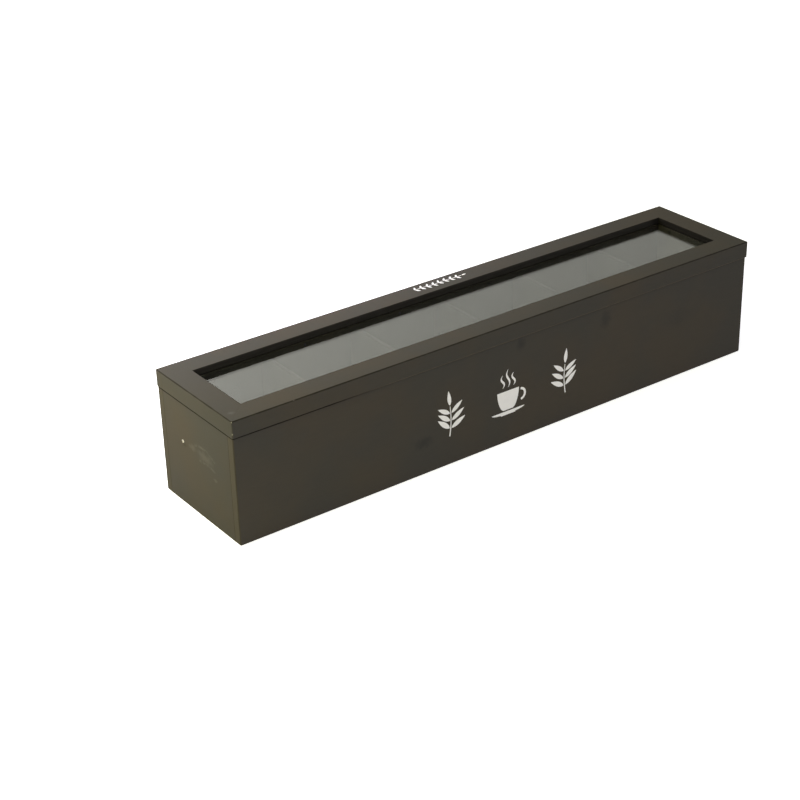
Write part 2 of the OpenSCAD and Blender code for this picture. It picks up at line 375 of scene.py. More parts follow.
@dataclass(frozen=True)
class Scuff:
    """A rubbed arc across an end wall, as a circle that noise breaks up."""

    face_x: float
    middle: Point
    radius: float
    span: Point
    width: float
    tint: Colour
    strength: float
    wander: float = 3 * MM
    fade_length: float = 4 * MM

    def put_on(self, graph: Graph, where: NodeSocket, look: Look) -> Look:
        """Lays the arc over a look."""
        x, y, z = graph.split(where)
        offset_y = graph.minus(y, self.middle[0])
        offset_z = graph.minus(z, self.middle[1])
        squares = graph.line(offset_y, offset_y, graph.times(offset_z, offset_z))
        wander = graph.line(graph.noise(where, 7 * MM, 3.0), self.wander, self.radius - self.wander / 2)
        away = graph.size(graph.minus(graph.math("SQRT", squares), wander))
        line = graph.ramp(away, self.width, 0.2 * self.width)
        ends = graph.times(graph.ramp(y, *self._fade(0)), graph.ramp(y, *self._fade(1)))
        broken = graph.ramp(graph.noise(where, 2.4 * MM, 4.0), 0.38, 0.6)
        on_face = graph.ramp(graph.size(graph.minus(x, self.face_x)), 2 * MM, 1 * MM)
        mask = graph.times(line, ends, broken, on_face, self.strength)
        rough = graph.line(mask, -0.12, look.roughness)
        return Look(graph.mix(mask, look.colour, self.tint), rough, look.height)

    def _fade(self, end: int) -> Point:
        """Where the arc starts and stops along Y, at one of its ends."""
        inward = self.fade_length if end == 0 else -self.fade_length
        return self.span[end], self.span[end] + inward


@dataclass(frozen=True)
class PaintedWood:
    """Satin paint on planed wood: faint cloudiness, brush lines, painted shade along the eased edges, round
    the window and at the seam, and a few marks.

    The edges are found from Object coordinates, so that the paint follows the wooden part that it is on.
    """

    name: str
    colour: Colour
    # The colour of the painted shade along the eased edges.
    edge_shade_colour: Colour
    outside: Span
    opening: Span
    # How wide and how strong the painted shade along the edges is.
    edge_shade_width: float = 0.9 * MM
    edge_shade_strength: float = 0.55
    roughness: float = 0.5
    gloss: float = 0.012
    cloud_size: float = 55 * MM
    cool: tuple[float, float, float] = (0.93, 0.975, 1.03)
    warm: tuple[float, float, float] = (1.05, 1.015, 0.98)
    brush_width: float = 1.6 * MM
    brush_length: float = 9.0
    mitred: bool = False
    mitre_line: Point = (0.25 * MM, 0.08 * MM)
    end_grain: Colour | None = None
    joint_line: Point = (0.45 * MM, 0.1 * MM)
    # The painted shade of the window's walls: its colour, how much darker the right wall is, and the band
    # above the glass where it darkens further.
    recess_shade: Colour | None = None
    recess_right_shade: float = 0.45
    crease_shade_band: Point = (0.7 * MM, 0.3 * MM)
    crease_shade_level: float = 0.3
    glass_z: float = 0.0
    seam_z: float = 0.0
    # The seam's painted shadow at the left end, turning into a painted highlight towards the right: its line,
    # strength, reach from the faces, where it turns, and its two colours.
    seam_line: Point = (0.7 * MM, 0.3 * MM)
    seam_strength: float = 0.93
    seam_reach: Point = (1.0 * MM, 0.6 * MM)
    seam_fade: Point = (-95 * MM, -150 * MM)
    seam_shadow: Colour = field(default_factory=lambda: hex_colour("#14110d"))
    seam_highlight: Colour = field(default_factory=lambda: hex_colour("#4b463d"))
    marks: tuple[Smudge | Chip | Scuff, ...] = ()

    def build(self) -> Material:
        """Makes the material."""
        graph, shader = surface(self.name)
        where = graph.place()
        look = self._paint(graph, where)
        if self.end_grain is not None:
            look = self._end_strips(graph, where, look)
        look = self._edge_shade(graph, where, look)
        if self.mitred:
            look = self._mitres(graph, where, look)
        if self.recess_shade is not None:
            look = self._recess_shade(graph, where, look)
        look = self._seam_shading(graph, where, look)
        for mark in self.marks:
            look = mark.put_on(graph, where, look)
        shader.inputs["Specular IOR Level"].default_value = self.gloss
        look.dress(graph, shader, MM)
        return bpy.data.materials[self.name]

    def _paint(self, graph: Graph, where: NodeSocket) -> Look:
        """The even part of the paint, with its cloudiness, brush lines and orange peel."""
        cloud = graph.ramp(graph.noise(where, self.cloud_size, 3.0), 0.33, 0.67)
        colour = graph.mix(cloud, tinted(self.colour, *self.cool), tinted(self.colour, *self.warm))
        brush = graph.noise(where, self.brush_width, 3.0, (self.brush_length, 1, 1))
        peel = graph.noise(where, 0.9 * MM, 2.0)
        speck = graph.noise(where, 0.35 * MM, 1.0)
        shade = graph.line(brush, 0.07, graph.line(speck, 0.05, 0.94))
        rough = graph.line(cloud, 0.05, graph.line(brush, 0.08, self.roughness - 0.06))
        height = graph.line(brush, 0.012, graph.times(peel, 0.01))
        return Look(graph.scaled(colour, shade), rough, height)

    def _edge_shade(self, graph: Graph, where: NodeSocket, look: Look) -> Look:
        """Darkens the outer edges and the rim of the opening: painted shade that stands in for the dark
        reflection along the rounded edges.
        """
        _, _, z = graph.split(where)
        out, hole = graph.inside(where, self.outside), graph.inside(where, self.opening)
        if self.mitred:
            near_outer = graph.highest(graph.minus(self.outside.high.z, z), graph.lowest(out[0], out[1]))
        else:
            near_outer = graph.middle_of(*[graph.size(value) for value in out])
        past = graph.size(graph.lowest(hole[0], hole[1]))
        below_top = graph.size(graph.minus(z, self.opening.high.z))
        near = graph.lowest(near_outer, graph.times(graph.highest(past, below_top), 2.0))
        uneven = graph.line(graph.noise(where, 9 * MM, 3.0), 0.9, 0.55)
        # Painted shade: a dark line along the eased edges and the rim of the opening.
        mask = graph.ramp(graph.math("DIVIDE", near, uneven), self.edge_shade_width, 0.3 * self.edge_shade_width)
        mask = graph.times(mask, self.edge_shade_strength)
        rough = graph.line(mask, -0.08, look.roughness)
        return Look(graph.mix(mask, look.colour, self.edge_shade_colour), rough, look.height)

    def _mitres(self, graph: Graph, where: NodeSocket, look: Look) -> Look:
        """Draws the hairline that shows through the paint at each mitre."""
        in_x, in_y, _ = graph.inside(where, self.outside)
        line = graph.ramp(graph.size(graph.minus(in_x, in_y)), *self.mitre_line)
        darker = graph.scaled(look.colour, graph.line(line, -0.1, 1.0))
        return Look(darker, look.roughness, graph.line(line, -0.02, look.height))

    def _recess_shade(self, graph: Graph, where: NodeSocket, look: Look) -> Look:
        """Paints shade onto the walls of the window, nearly black, darker still in the crease just above the
        glass and on the right wall, which the lamp from the left lights.
        """
        x, _, z = graph.split(where)
        hole = self.opening.grown(x=0.7 * MM, y=0.7 * MM)
        in_x, in_y, _ = graph.inside(where, hole)
        inside = graph.ramp(graph.lowest(in_x, in_y), 0.0, 0.2 * MM)
        below = graph.ramp(graph.minus(hole.high.z, z), 0.12 * MM, 0.4 * MM)
        streaks = graph.ramp(graph.noise(where, 1.2 * MM, 3.0, (12, 12, 1)), 0.35, 0.7, 0.9, 1.12)
        # Painted shade in the crease where the window's walls meet the glass.
        crease_shade_band = graph.ramp(graph.minus(z, self.glass_z), *self.crease_shade_band, 1.0, self.crease_shade_level)
        # Painted shade on the right wall, which the lamp from the left lights.
        right = graph.ramp(x, hole.high.x - 12 * MM, hole.high.x - 1 * MM, 1.0, self.recess_right_shade)
        dark = graph.scaled(graph.mix(0.0, self.recess_shade, self.recess_shade), graph.times(streaks, crease_shade_band, right))
        return look.coloured(graph.mix(graph.times(inside, below), look.colour, dark))

    def _seam_shading(self, graph: Graph, where: NodeSocket, look: Look) -> Look:
        """Paints a shadow line along the seam between box and lid at the left end, which turns into a pale
        painted highlight along the front.
        """
        x, _, z = graph.split(where)
        in_x, in_y, _ = graph.inside(where, self.outside)
        away = graph.size(graph.minus(z, self.seam_z))
        uneven = graph.line(graph.noise(where, 12 * MM, 2.0), 0.6, 0.7)
        line = graph.ramp(graph.math("DIVIDE", away, uneven), *self.seam_line, 0.0, self.seam_strength)
        mask = graph.times(line, graph.ramp(graph.lowest(in_x, in_y), *self.seam_reach))
        # Painted shadow at the left end, painted highlight further right.
        tint = graph.mix(graph.ramp(x, *self.seam_fade), self.seam_highlight, self.seam_shadow)
        return look.coloured(graph.mix(mask, look.colour, tint))

    def _end_strips(self, graph: Graph, where: NodeSocket, look: Look) -> Look:
        """Lightens the end grain of the front and rear walls, where it shows beside the end walls."""
        _, between, _ = graph.inside(where, self.opening)
        in_x, _, _ = graph.inside(where, self.outside)
        strip = graph.ramp(between, 0.1 * MM, -0.1 * MM)
        at_end = graph.ramp(in_x, 1.2 * MM, 0.6 * MM)
        joint = graph.ramp(graph.size(between), *self.joint_line, 0.0, -0.22)
        colour = graph.mix(graph.times(strip, at_end), look.colour, self.end_grain)
        return look.coloured(graph.scaled(colour, graph.line(joint, at_end, 1.0)))


@dataclass(frozen=True)
class ClearGlass:
    """Float glass with a faint green cast and the haze of an old wipe. Lamps shine through it."""

    name: str = "window_glass"
    tint: Colour = (0.955, 0.975, 0.96, 1.0)
    shade: Colour = (0.84, 0.87, 0.85, 1.0)

    def build(self) -> Material:
        """Makes the material."""
        graph, shader = surface(self.name)
        where = graph.place()
        wipe = graph.noise(where, 14 * MM, 3.0, (3, 1, 1))
        graph.feed(shader.inputs["Roughness"], graph.ramp(wipe, 0.35, 0.75, 0.0, 0.035))
        shader.inputs["Base Color"].default_value = self.tint
        shader.inputs["Transmission Weight"].default_value = 1.0
        shader.inputs["IOR"].default_value = 1.5
        output = graph.tree.nodes["Material Output"]
        rays = graph.node("ShaderNodeLightPath")
        clear = graph.node("ShaderNodeBsdfTransparent", {"Color": self.shade})
        both = graph.node("ShaderNodeMixShader", {0: rays.outputs["Is Shadow Ray"]})
        graph.feed(both.inputs[1], shader.outputs["BSDF"])
        graph.feed(both.inputs[2], clear.outputs["BSDF"])
        graph.feed(output.inputs["Surface"], both.outputs[0])
        return bpy.data.materials[self.name]


@dataclass(frozen=True)
class Metal:
    """Small drawn or stamped metal parts with a tarnish that gathers in patches."""

    name: str
    bright: Colour
    tarnish: Colour
    roughness: float = 0.32

    def build(self) -> Material:
        """Makes the material."""
        graph, shader = surface(self.name)
        where = graph.place()
        patch = graph.ramp(graph.noise(where, 3.5 * MM, 4.0), 0.35, 0.7)
        scratch = graph.noise(where, 0.25 * MM, 2.0, (14, 1, 1))
        rough = graph.line(patch, 0.2, graph.line(scratch, 0.12, self.roughness - 0.06))
        shader.inputs["Metallic"].default_value = 1.0
        look = Look(graph.mix(patch, self.bright, self.tarnish), rough, scratch)
        look.dress(graph, shader, 0.004 * MM)
        return bpy.data.materials[self.name]


@dataclass(frozen=True)
class ScreenPrint:
    """Opaque cream ink, slightly uneven, with a few pinholes."""

    name: str = "cream_ink"
    ink: Colour = field(default_factory=lambda: hex_colour("#f5f3ec"))
    pinhole: Colour = field(default_factory=lambda: hex_colour("#8f8b80"))

    def build(self) -> Material:
        """Makes the material."""
        graph, shader = surface(self.name)
        where = graph.place()
        cloud = graph.noise(where, 6 * MM, 3.0)
        weave = graph.noise(where, 0.45 * MM, 2.0)
        holes = graph.ramp(weave, 0.69, 0.76, 0.0, 0.8)
        even = graph.scaled(graph.mix(0.0, self.ink, self.ink), graph.line(cloud, 0.12, 0.93))
        look = Look(graph.mix(holes, even, self.pinhole), graph.line(weave, 0.15, 0.42), weave)
        look.dress(graph, shader, 0.01 * MM)
        return bpy.data.materials[self.name]


def surface(name: str) -> tuple[Graph, Node]:
    """A new material's node tree and its shader."""
    material = bpy.data.materials.new(name)
    material.use_nodes = True
    graph = Graph(material.node_tree)
    return graph, graph.tree.nodes["Principled BSDF"]


def new_object(name: str, mesh: Mesh, material: Material | None = None) -> Object:
    """Adds an object with a mesh to the scene.

    Args:
        name: The object's name, which its mesh takes too.
        mesh: The finished mesh.
        material: The material of every face, if it has only one.

    Returns:
        The new object, at the origin.
    """
    mesh.name = name
    piece = bpy.data.objects.new(name, mesh)
    bpy.context.scene.collection.objects.link(piece)
    if material is not None:
        mesh.materials.clear()
        mesh.materials.append(material)
    return piece


def from_bmesh(name: str, shape: bmesh.types.BMesh, material: Material | None = None) -> Object:
    """Turns a bmesh into an object, with its faces pointing out."""
    bmesh.ops.remove_doubles(shape, verts=shape.verts, dist=0.0005 * MM)
    bmesh.ops.recalc_face_normals(shape, faces=shape.faces)
    mesh = bpy.data.meshes.new(name)
    shape.to_mesh(mesh)
    shape.free()
    return new_object(name, mesh, material)


def settle(piece: Object) -> Object:
    """Replaces an object's mesh by what its modifiers make of it, and removes them."""
    depsgraph = bpy.context.evaluated_depsgraph_get()
    made = bpy.data.meshes.new_from_object(piece.evaluated_get(depsgraph), depsgraph=depsgraph)
    piece.modifiers.clear()
    piece.data = made
    made.name = piece.name
    return piece


def smooth(piece: Object, sharp_angle: float = 38.0) -> Object:
    """Shades an object smooth, keeps its flat faces flat and its sharp edges sharp."""
    piece.data.shade_smooth()
    piece.data.set_sharp_from_angle(angle=math.radians(sharp_angle))
    weighted = piece.modifiers.new("flat_faces", "WEIGHTED_NORMAL")
    weighted.keep_sharp = True
    weighted.weight = 100
    return settle(piece)


def block(span: Span) -> bmesh.types.BMesh:
    """A plain block that fills a space."""
    shape = bmesh.new()
    bmesh.ops.create_cube(shape, size=1.0)
    bmesh.ops.scale(shape, vec=span.size, verts=shape.verts)
    bmesh.ops.translate(shape, vec=span.middle, verts=shape.verts)
    return shape


def eased_board(name: str, span: Span, ease: Callable[[Vector], float], material: Material) -> Object:
    """A board whose edges are each eased by their own radius.

    Args:
        name: The object's name.
        span: The space that the board fills.
        ease: Gives the radius of an edge from the direction, from the board's middle, of the two faces
            that meet there. The direction has -1, 0 or 1 along each axis.
        material: The board's material.

    Returns:
        The board.
    """
    largest = 0.8 * MM
    shape = block(span)
    weights = shape.edges.layers.float.new("bevel_weight_edge")
    for edge in shape.edges:
        offset = (edge.verts[0].co + edge.verts[1].co) / 2 - span.middle
        way = Vector(round(2 * offset[axis] / span.size[axis]) for axis in range(3))
        edge[weights] = min(1.0, ease(way) / largest)
    piece = from_bmesh(name, shape, material)
    bevel = piece.modifiers.new("ease", "BEVEL")
    bevel.width = largest
    bevel.segments = 4
    bevel.limit_method = "WEIGHT"
    return settle(piece)


def cut_away(piece: Object, place: Vector, outward: Vector) -> Object:
    """Cuts an object along a plane, drops what lies on its outward side and closes the cut."""
    shape = bmesh.new()
    shape.from_mesh(piece.data)
    everything = [*shape.verts, *shape.edges, *shape.faces]
    cut = bmesh.ops.bisect_plane(shape, geom=everything, plane_co=place, plane_no=outward, clear_outer=True)
    rim = [item for item in cut["geom_cut"] if isinstance(item, bmesh.types.BMEdge)]
    bmesh.ops.contextual_create(shape, geom=rim)
    bmesh.ops.recalc_face_normals(shape, faces=shape.faces)
    shape.to_mesh(piece.data)
    shape.free()
    return piece


def carve(piece: Object, cutters: Iterable[bmesh.types.BMesh]) -> Object:
    """Cuts other shapes out of an object, one after the other."""
    tools = [from_bmesh("cutter", cutter) for cutter in cutters]
    for tool in tools:
        cut = piece.modifiers.new("cut", "BOOLEAN")
        cut.operation = "DIFFERENCE"
        cut.solver = "EXACT"
        cut.object = tool
    settle(piece)
    for tool in tools:
        bpy.data.objects.remove(tool)
    return piece


def grow(name: str, tree: NodeTree, settings: dict[str, object]) -> Object:
    """Runs a Geometry Nodes tree and keeps its result as a plain mesh.

    Args:
        name: The new object's name.
        tree: The tree, which makes its geometry from its named inputs.
        settings: A value for each named input.

    Returns:
        An object at the origin with no modifier.
    """
    host = new_object(name + "_host", bpy.data.meshes.new(name))
    modifier = host.modifiers.new("grow", "NODES")
    modifier.node_group = tree
    for item in tree.interface.items_tree:
        if item.in_out == "INPUT" and item.name in settings:
            modifier[item.identifier] = settings[item.name]
    depsgraph = bpy.context.evaluated_depsgraph_get()
    made = bpy.data.meshes.new_from_object(host.evaluated_get(depsgraph), depsgraph=depsgraph)
    bpy.data.objects.remove(host)
    return new_object(name, made)


def geometry_tree(name: str, inputs: dict[str, str]) -> tuple[Graph, dict[str, NodeSocket], Callable]:
    """Starts a Geometry Nodes tree.

    Args:
        name: The tree's name.
        inputs: The socket type of each named input.

    Returns:
        The graph, the input sockets by name, and a function that ends the tree with the geometry that it is
        given, realized and with the tree's Material input on it.
    """
    tree = bpy.data.node_groups.new(name, "GeometryNodeTree")
    for label, kind in {**inputs, "Material": "NodeSocketMaterial"}.items():
        tree.interface.new_socket(label, in_out="INPUT", socket_type=kind)
    tree.interface.new_socket("Geometry", in_out="OUTPUT", socket_type="NodeSocketGeometry")
    graph = Graph(tree)
    given = {socket.name: socket for socket in graph.node("NodeGroupInput").outputs}

    def end_with(geometry: NodeSocket) -> NodeTree:
        """Ends the tree."""
        real = graph.node("GeometryNodeRealizeInstances", {"Geometry": geometry}).outputs[0]
        dressed = graph.node("GeometryNodeSetMaterial", {"Geometry": real, "Material": given["Material"]})
        graph.feed(graph.node("NodeGroupOutput").inputs[0], dressed.outputs[0])
        return tree

    return graph, given, end_with


def hand_over(piece: Object, body: Body, finish: Finish | None, *nodes: str) -> Object:
    """Parents a finished piece to its body's empty, hides the nodes that it stands for and logs it.

    Args:
        piece: The piece, in its place.
        body: The body that it rides on.
        finish: The record's slot that it would take its finish from, if it has one; not used.
        nodes: The nodes that it stands for.

    Returns:
        The piece.
    """
    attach(piece, body.value)
    if nodes:
        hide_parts(*nodes)
    log.info("%s rides on %s: %d faces", piece.name, body.value, len(piece.data.polygons))
    return piece


@dataclass
class HingeLine:
    """The pin's line, which both rear edges are bevelled to and the leaves are let in along."""

    leaf_gap: float = 0.2 * MM
    leaf_thickness: float = 0.8 * MM
    play: float = 0.05 * MM
    knuckle_play: float = 0.2 * MM
    bevel_angle: float = math.radians(50.5)
    cut: float = 1 * MM

    def __post_init__(self) -> None:
        """Takes the pins' places from the frame."""
        self.pins = {name: Span.of(f"hinge_{name}_pin") for name in ("left", "right")}
        self.axis = self.pins["left"].middle
        self.axis.x = 0.0

    def bevel_normal(self, body: Body) -> Vector:
        """The way out of the bevelled rear edge of the box or the lid."""
        up = 1 if body is Body.BOX else -1
        return Vector((0, math.sin(self.bevel_angle), up * math.cos(self.bevel_angle)))

    def recesses(self, body: Body) -> list[bmesh.types.BMesh]:
        """The mortises of the leaves and the pockets of the knuckles, as shapes to cut away."""
        found = []
        for name, pin in self.pins.items():
            leaf = Span.of(f"hinge_{name}_{body.value}_leaf")
            floor = self.leaf_gap / 2 + self.leaf_thickness
            mortise = self._halved(leaf.grown(x=self.play, y=self.play), body, floor)
            radius = leaf.high.y - self.axis.y + self.knuckle_play
            pocket = pin.grown(x=self.knuckle_play)
            pocket = pocket.moved_face(1, -1, self.axis.y - radius)
            pocket = pocket.moved_face(1, 1, self.axis.y + radius + self.cut)
            found += [block(mortise), block(self._halved(pocket, body, radius))]
        return found

    def _halved(self, span: Span, body: Body, depth: float) -> Span:
        """A space that reaches a depth from the axis into the box or the lid, and a little out of it."""
        way = -1 if body is Body.BOX else 1
        deep, open_end = self.axis.z + way * depth, self.axis.z - way * self.cut
        low, high = sorted((deep, open_end))
        return span.moved_face(2, -1, low).moved_face(2, 1, high)


@dataclass
class Carcass:
    """The four walls, butted at the corners, and the base panel in its rebate."""

    paint: Material
    inner_paint: Material
    hinges: HingeLine
    outer_ease: float = 0.8 * MM
    seam_ease: float = 0.4 * MM
    inner_ease: float = 0.3 * MM
    joint_ease: float = 0.1 * MM
    play: float = 0.1 * MM
    cut: float = 1 * MM

    def build(self) -> None:
        """Makes and hands over the walls and the base."""
        for side in (Side.FRONT, Side.REAR):
            self._long_wall(side)
        for side in (Side.LEFT, Side.RIGHT):
            self._end_wall(side)
        self._base()

    def _long_wall(self, side: Side) -> Object:
        """The front or the rear wall, which runs the whole length and holds the dividers."""
        node = f"{side.label()}_wall"
        face = side.value[1]

        def ease(way: Vector) -> float:
            """The radius of one edge of the wall."""
            outside, top = way.y == face, way.z > 0
            if side is Side.REAR and outside and top:
                return 0.0
            if outside or way.y == 0:
                return self.seam_ease if top else self.outer_ease
            return self.inner_ease if top else self.joint_ease

        wall = eased_board(f"wall_{side.label()}", Span.of(node), ease, self.paint)
        if side is Side.REAR:
            cut_away(wall, self.hinges.axis, self.hinges.bevel_normal(Body.BOX))
            carve(wall, self.hinges.recesses(Body.BOX))
        carve(wall, [self._base_rebate(), *self._grooves()])
        return hand_over(smooth(wall), Body.BOX, Finish.OUTER, node)

    def _end_wall(self, side: Side) -> Object:
        """The left or the right wall, set between the long ones."""
        node = f"{side.label()}_end"
        face = side.value[0]

        def ease(way: Vector) -> float:
            """The radius of one edge of the wall."""
            outside = way.x == face
            if way.z == 0:
                return self.joint_ease if outside else 0.0
            if way.x == 0:
                return 0.0
            if outside:
                return self.seam_ease if way.z > 0 else self.outer_ease
            return self.inner_ease if way.z > 0 else 0.0

        wall = eased_board(f"wall_{side.label()}", Span.of(node), ease, self.paint)
        carve(wall, [self._base_rebate()])
        return hand_over(smooth(wall), Body.BOX, Finish.OUTER, node)

    def _base(self) -> Object:
        """The base panel."""
        base = eased_board("base", Span.of("base_panel"), lambda way: 0.15 * MM, self.inner_paint)
        return hand_over(smooth(base), Body.BOX, Finish.INNER, "base_panel")

    def _base_rebate(self) -> bmesh.types.BMesh:
        """The space that the base panel sits in."""
        base = Span.of("base_panel")
        return block(base.grown(x=self.play, y=self.play).moved_face(2, -1, base.low.z - self.cut))

    def _grooves(self) -> list[bmesh.types.BMesh]:
        """The grooves that the dividers slide down into."""
        found = []
        for node in divider_nodes():
            divider = Span.of(node)
            groove = divider.grown(x=self.play, y=self.play).moved_face(2, 1, divider.high.z + self.cut)
            found.append(block(groove.moved_face(2, -1, divider.low.z - self.cut)))
        return found


def divider_nodes() -> list[str]:
    """The names of the dividers' nodes, from left to right."""
    return sorted(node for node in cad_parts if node.startswith("divider_"))


@dataclass
class DividerRow:
    """The dividers, repeated at an even pitch by Geometry Nodes."""

    paint: Material
    edge: float = 0.7 * MM

    def build(self) -> Object:
        """Makes and hands over the row."""
        nodes = divider_nodes()
        first, last = Span.of(nodes[0]), Span.of(nodes[-1])
        settings = {
            "Count": len(nodes),
            "Start": first.middle,
            "Pitch": (last.middle.x - first.middle.x) / (len(nodes) - 1),
            "Thickness": first.size.x,
            "Depth": first.size.y,
            "Height": first.size.z,
            "Edge": self.edge,
            "Material": self.paint,
        }
        row = grow("dividers", self._tree(), settings)
        return hand_over(smooth(row), Body.BOX, Finish.INNER, *nodes)

    def _tree(self) -> NodeTree:
        """Sweeps a round-edged section from front to rear and repeats it along X."""
        lengths = ("Pitch", "Thickness", "Depth", "Height", "Edge")
        inputs = {"Count": "NodeSocketInt", "Start": "NodeSocketVector"}
        inputs.update({name: "NodeSocketFloat" for name in lengths})
        graph, given, end_with = geometry_tree("divider_row", inputs)
        outline = {"Width": given["Thickness"], "Height": given["Height"]}
        section = graph.out("GeometryNodeCurvePrimitiveQuadrilateral", outline)
        corners = {"Curve": section, "Count": 5, "Radius": given["Edge"]}
        rounded = graph.out("GeometryNodeFilletCurve", corners, mode="POLY")
        half = graph.times(given["Depth"], 0.5)
        ends = {"Start": graph.xyz(y=graph.times(half, -1.0)), "End": graph.xyz(y=half)}
        path = graph.out("GeometryNodeCurvePrimitiveLine", ends)
        sweep = {"Curve": path, "Profile Curve": rounded, "Fill Caps": True}
        board = graph.out("GeometryNodeCurveToMesh", sweep)
        step = graph.xyz(x=given["Pitch"])
        line = {"Count": given["Count"], "Start Location": given["Start"], "Offset": step}
        places = graph.out("GeometryNodeMeshLine", line)
        return end_with(graph.out("GeometryNodeInstanceOnPoints", {"Points": places, "Instance": board}))


@dataclass
class LidFrame:
    """Two rails and two stiles, mitred at the corners, with a rebate for the glass under their lip."""

    hinges: HingeLine
    corner: float = 0.8 * MM
    seam_ease: float = 0.4 * MM
    window_ease: float = 0.35 * MM
    rebate: float = 5 * MM
    ink: float = 0.03 * MM
    steps: int = 5

    def __post_init__(self) -> None:
        """Takes the frame's outline, the window and the glass's seat from the frame."""
        nodes = ("lid_front_rail", "lid_rear_rail", "lid_left_stile", "lid_right_stile")
        whole = Span.of(*nodes)
        self.outline = whole.moved_face(2, 1, whole.high.z - self.ink)
        self.width = Span.of("lid_left_stile").size.x
        self.seat_z = Span.of("glass_pane").high.z

    @property
    def window(self) -> Span:
        """The opening inside the frame."""
        return self.outline.grown(x=-self.width, y=-self.width)

    def build(self, paint: Material) -> None:
        """Makes and hands over the four pieces, in one paint."""
        for side in Side:
            kind = "rail" if side.is_long else "stile"
            node = f"lid_{side.label()}_{kind}"
            piece = self._piece(f"lid_{kind}_{side.label()}", side, paint)
            if side is not Side.FRONT:
                cut_away(piece, self.hinges.axis, self.hinges.bevel_normal(Body.LID))
            if side is Side.REAR:
                carve(piece, self.hinges.recesses(Body.LID))
            hand_over(smooth(piece), Body.LID, Finish.OUTER, node)

    def _section(self) -> list[Point]:
        """The outline of a rail cut across: distances in from the outer edge, and heights."""
        low, high, width = self.outline.low.z, self.outline.high.z, self.width
        outer_low = arc((self.seam_ease, low + self.seam_ease), self.seam_ease, 270, 180, self.steps)
        outer_high = arc((self.corner, high - self.corner), self.corner, 180, 90, self.steps)
        middle = (width - self.window_ease, high - self.window_ease)
        inner_high = arc(middle, self.window_ease, 90, 0, self.steps)
        lip = [(width, self.seat_z), (width - self.rebate, self.seat_z), (width - self.rebate, low)]
        return [*outer_low, *outer_high, *inner_high, *lip]

    def _piece(self, name: str, side: Side, paint: Material) -> Object:
        """Sweeps the section along one side, from mitre to mitre and round half of each corner."""
        half = self.outline.size / 2
        reach, out = (half.x, half.y) if side.is_long else (half.y, half.x)
        bends = [math.radians(45 + 45 * step / self.steps) for step in range(self.steps + 1)]
        columns = [(-1, bend) for bend in bends] + [(1, bend) for bend in reversed(bends)]
        section = self._section()
        shape = bmesh.new()
        grid = []
        for end, bend in columns:
            column = []
            for inset, height in section:
                round_by = max(self.corner - inset, 0.0)
                back = max(self.corner, inset)
                along = end * (reach - back + round_by * math.cos(bend))
                outward = out - back + round_by * math.sin(bend)
                place = self.outline.middle + side.along * along + side.outward * outward
                column.append(shape.verts.new((place.x, place.y, height)))
            grid.append(column)
        for left, right in zip(grid, grid[1:]):
            for i in range(len(section)):
                shape.faces.new((left[i], right[i], right[i - 1], left[i - 1]))
        shape.faces.new(grid[0])
        shape.faces.new(grid[-1])
        return from_bmesh(name, shape, paint)


def arc(middle: Point, radius: float, start: float, end: float, steps: int) -> list[Point]:
    """Points of an arc, with its angles in degrees."""
    angles = [math.radians(start + (end - start) * step / steps) for step in range(steps + 1)]
    return [(middle[0] + radius * math.cos(a), middle[1] + radius * math.sin(a)) for a in angles]


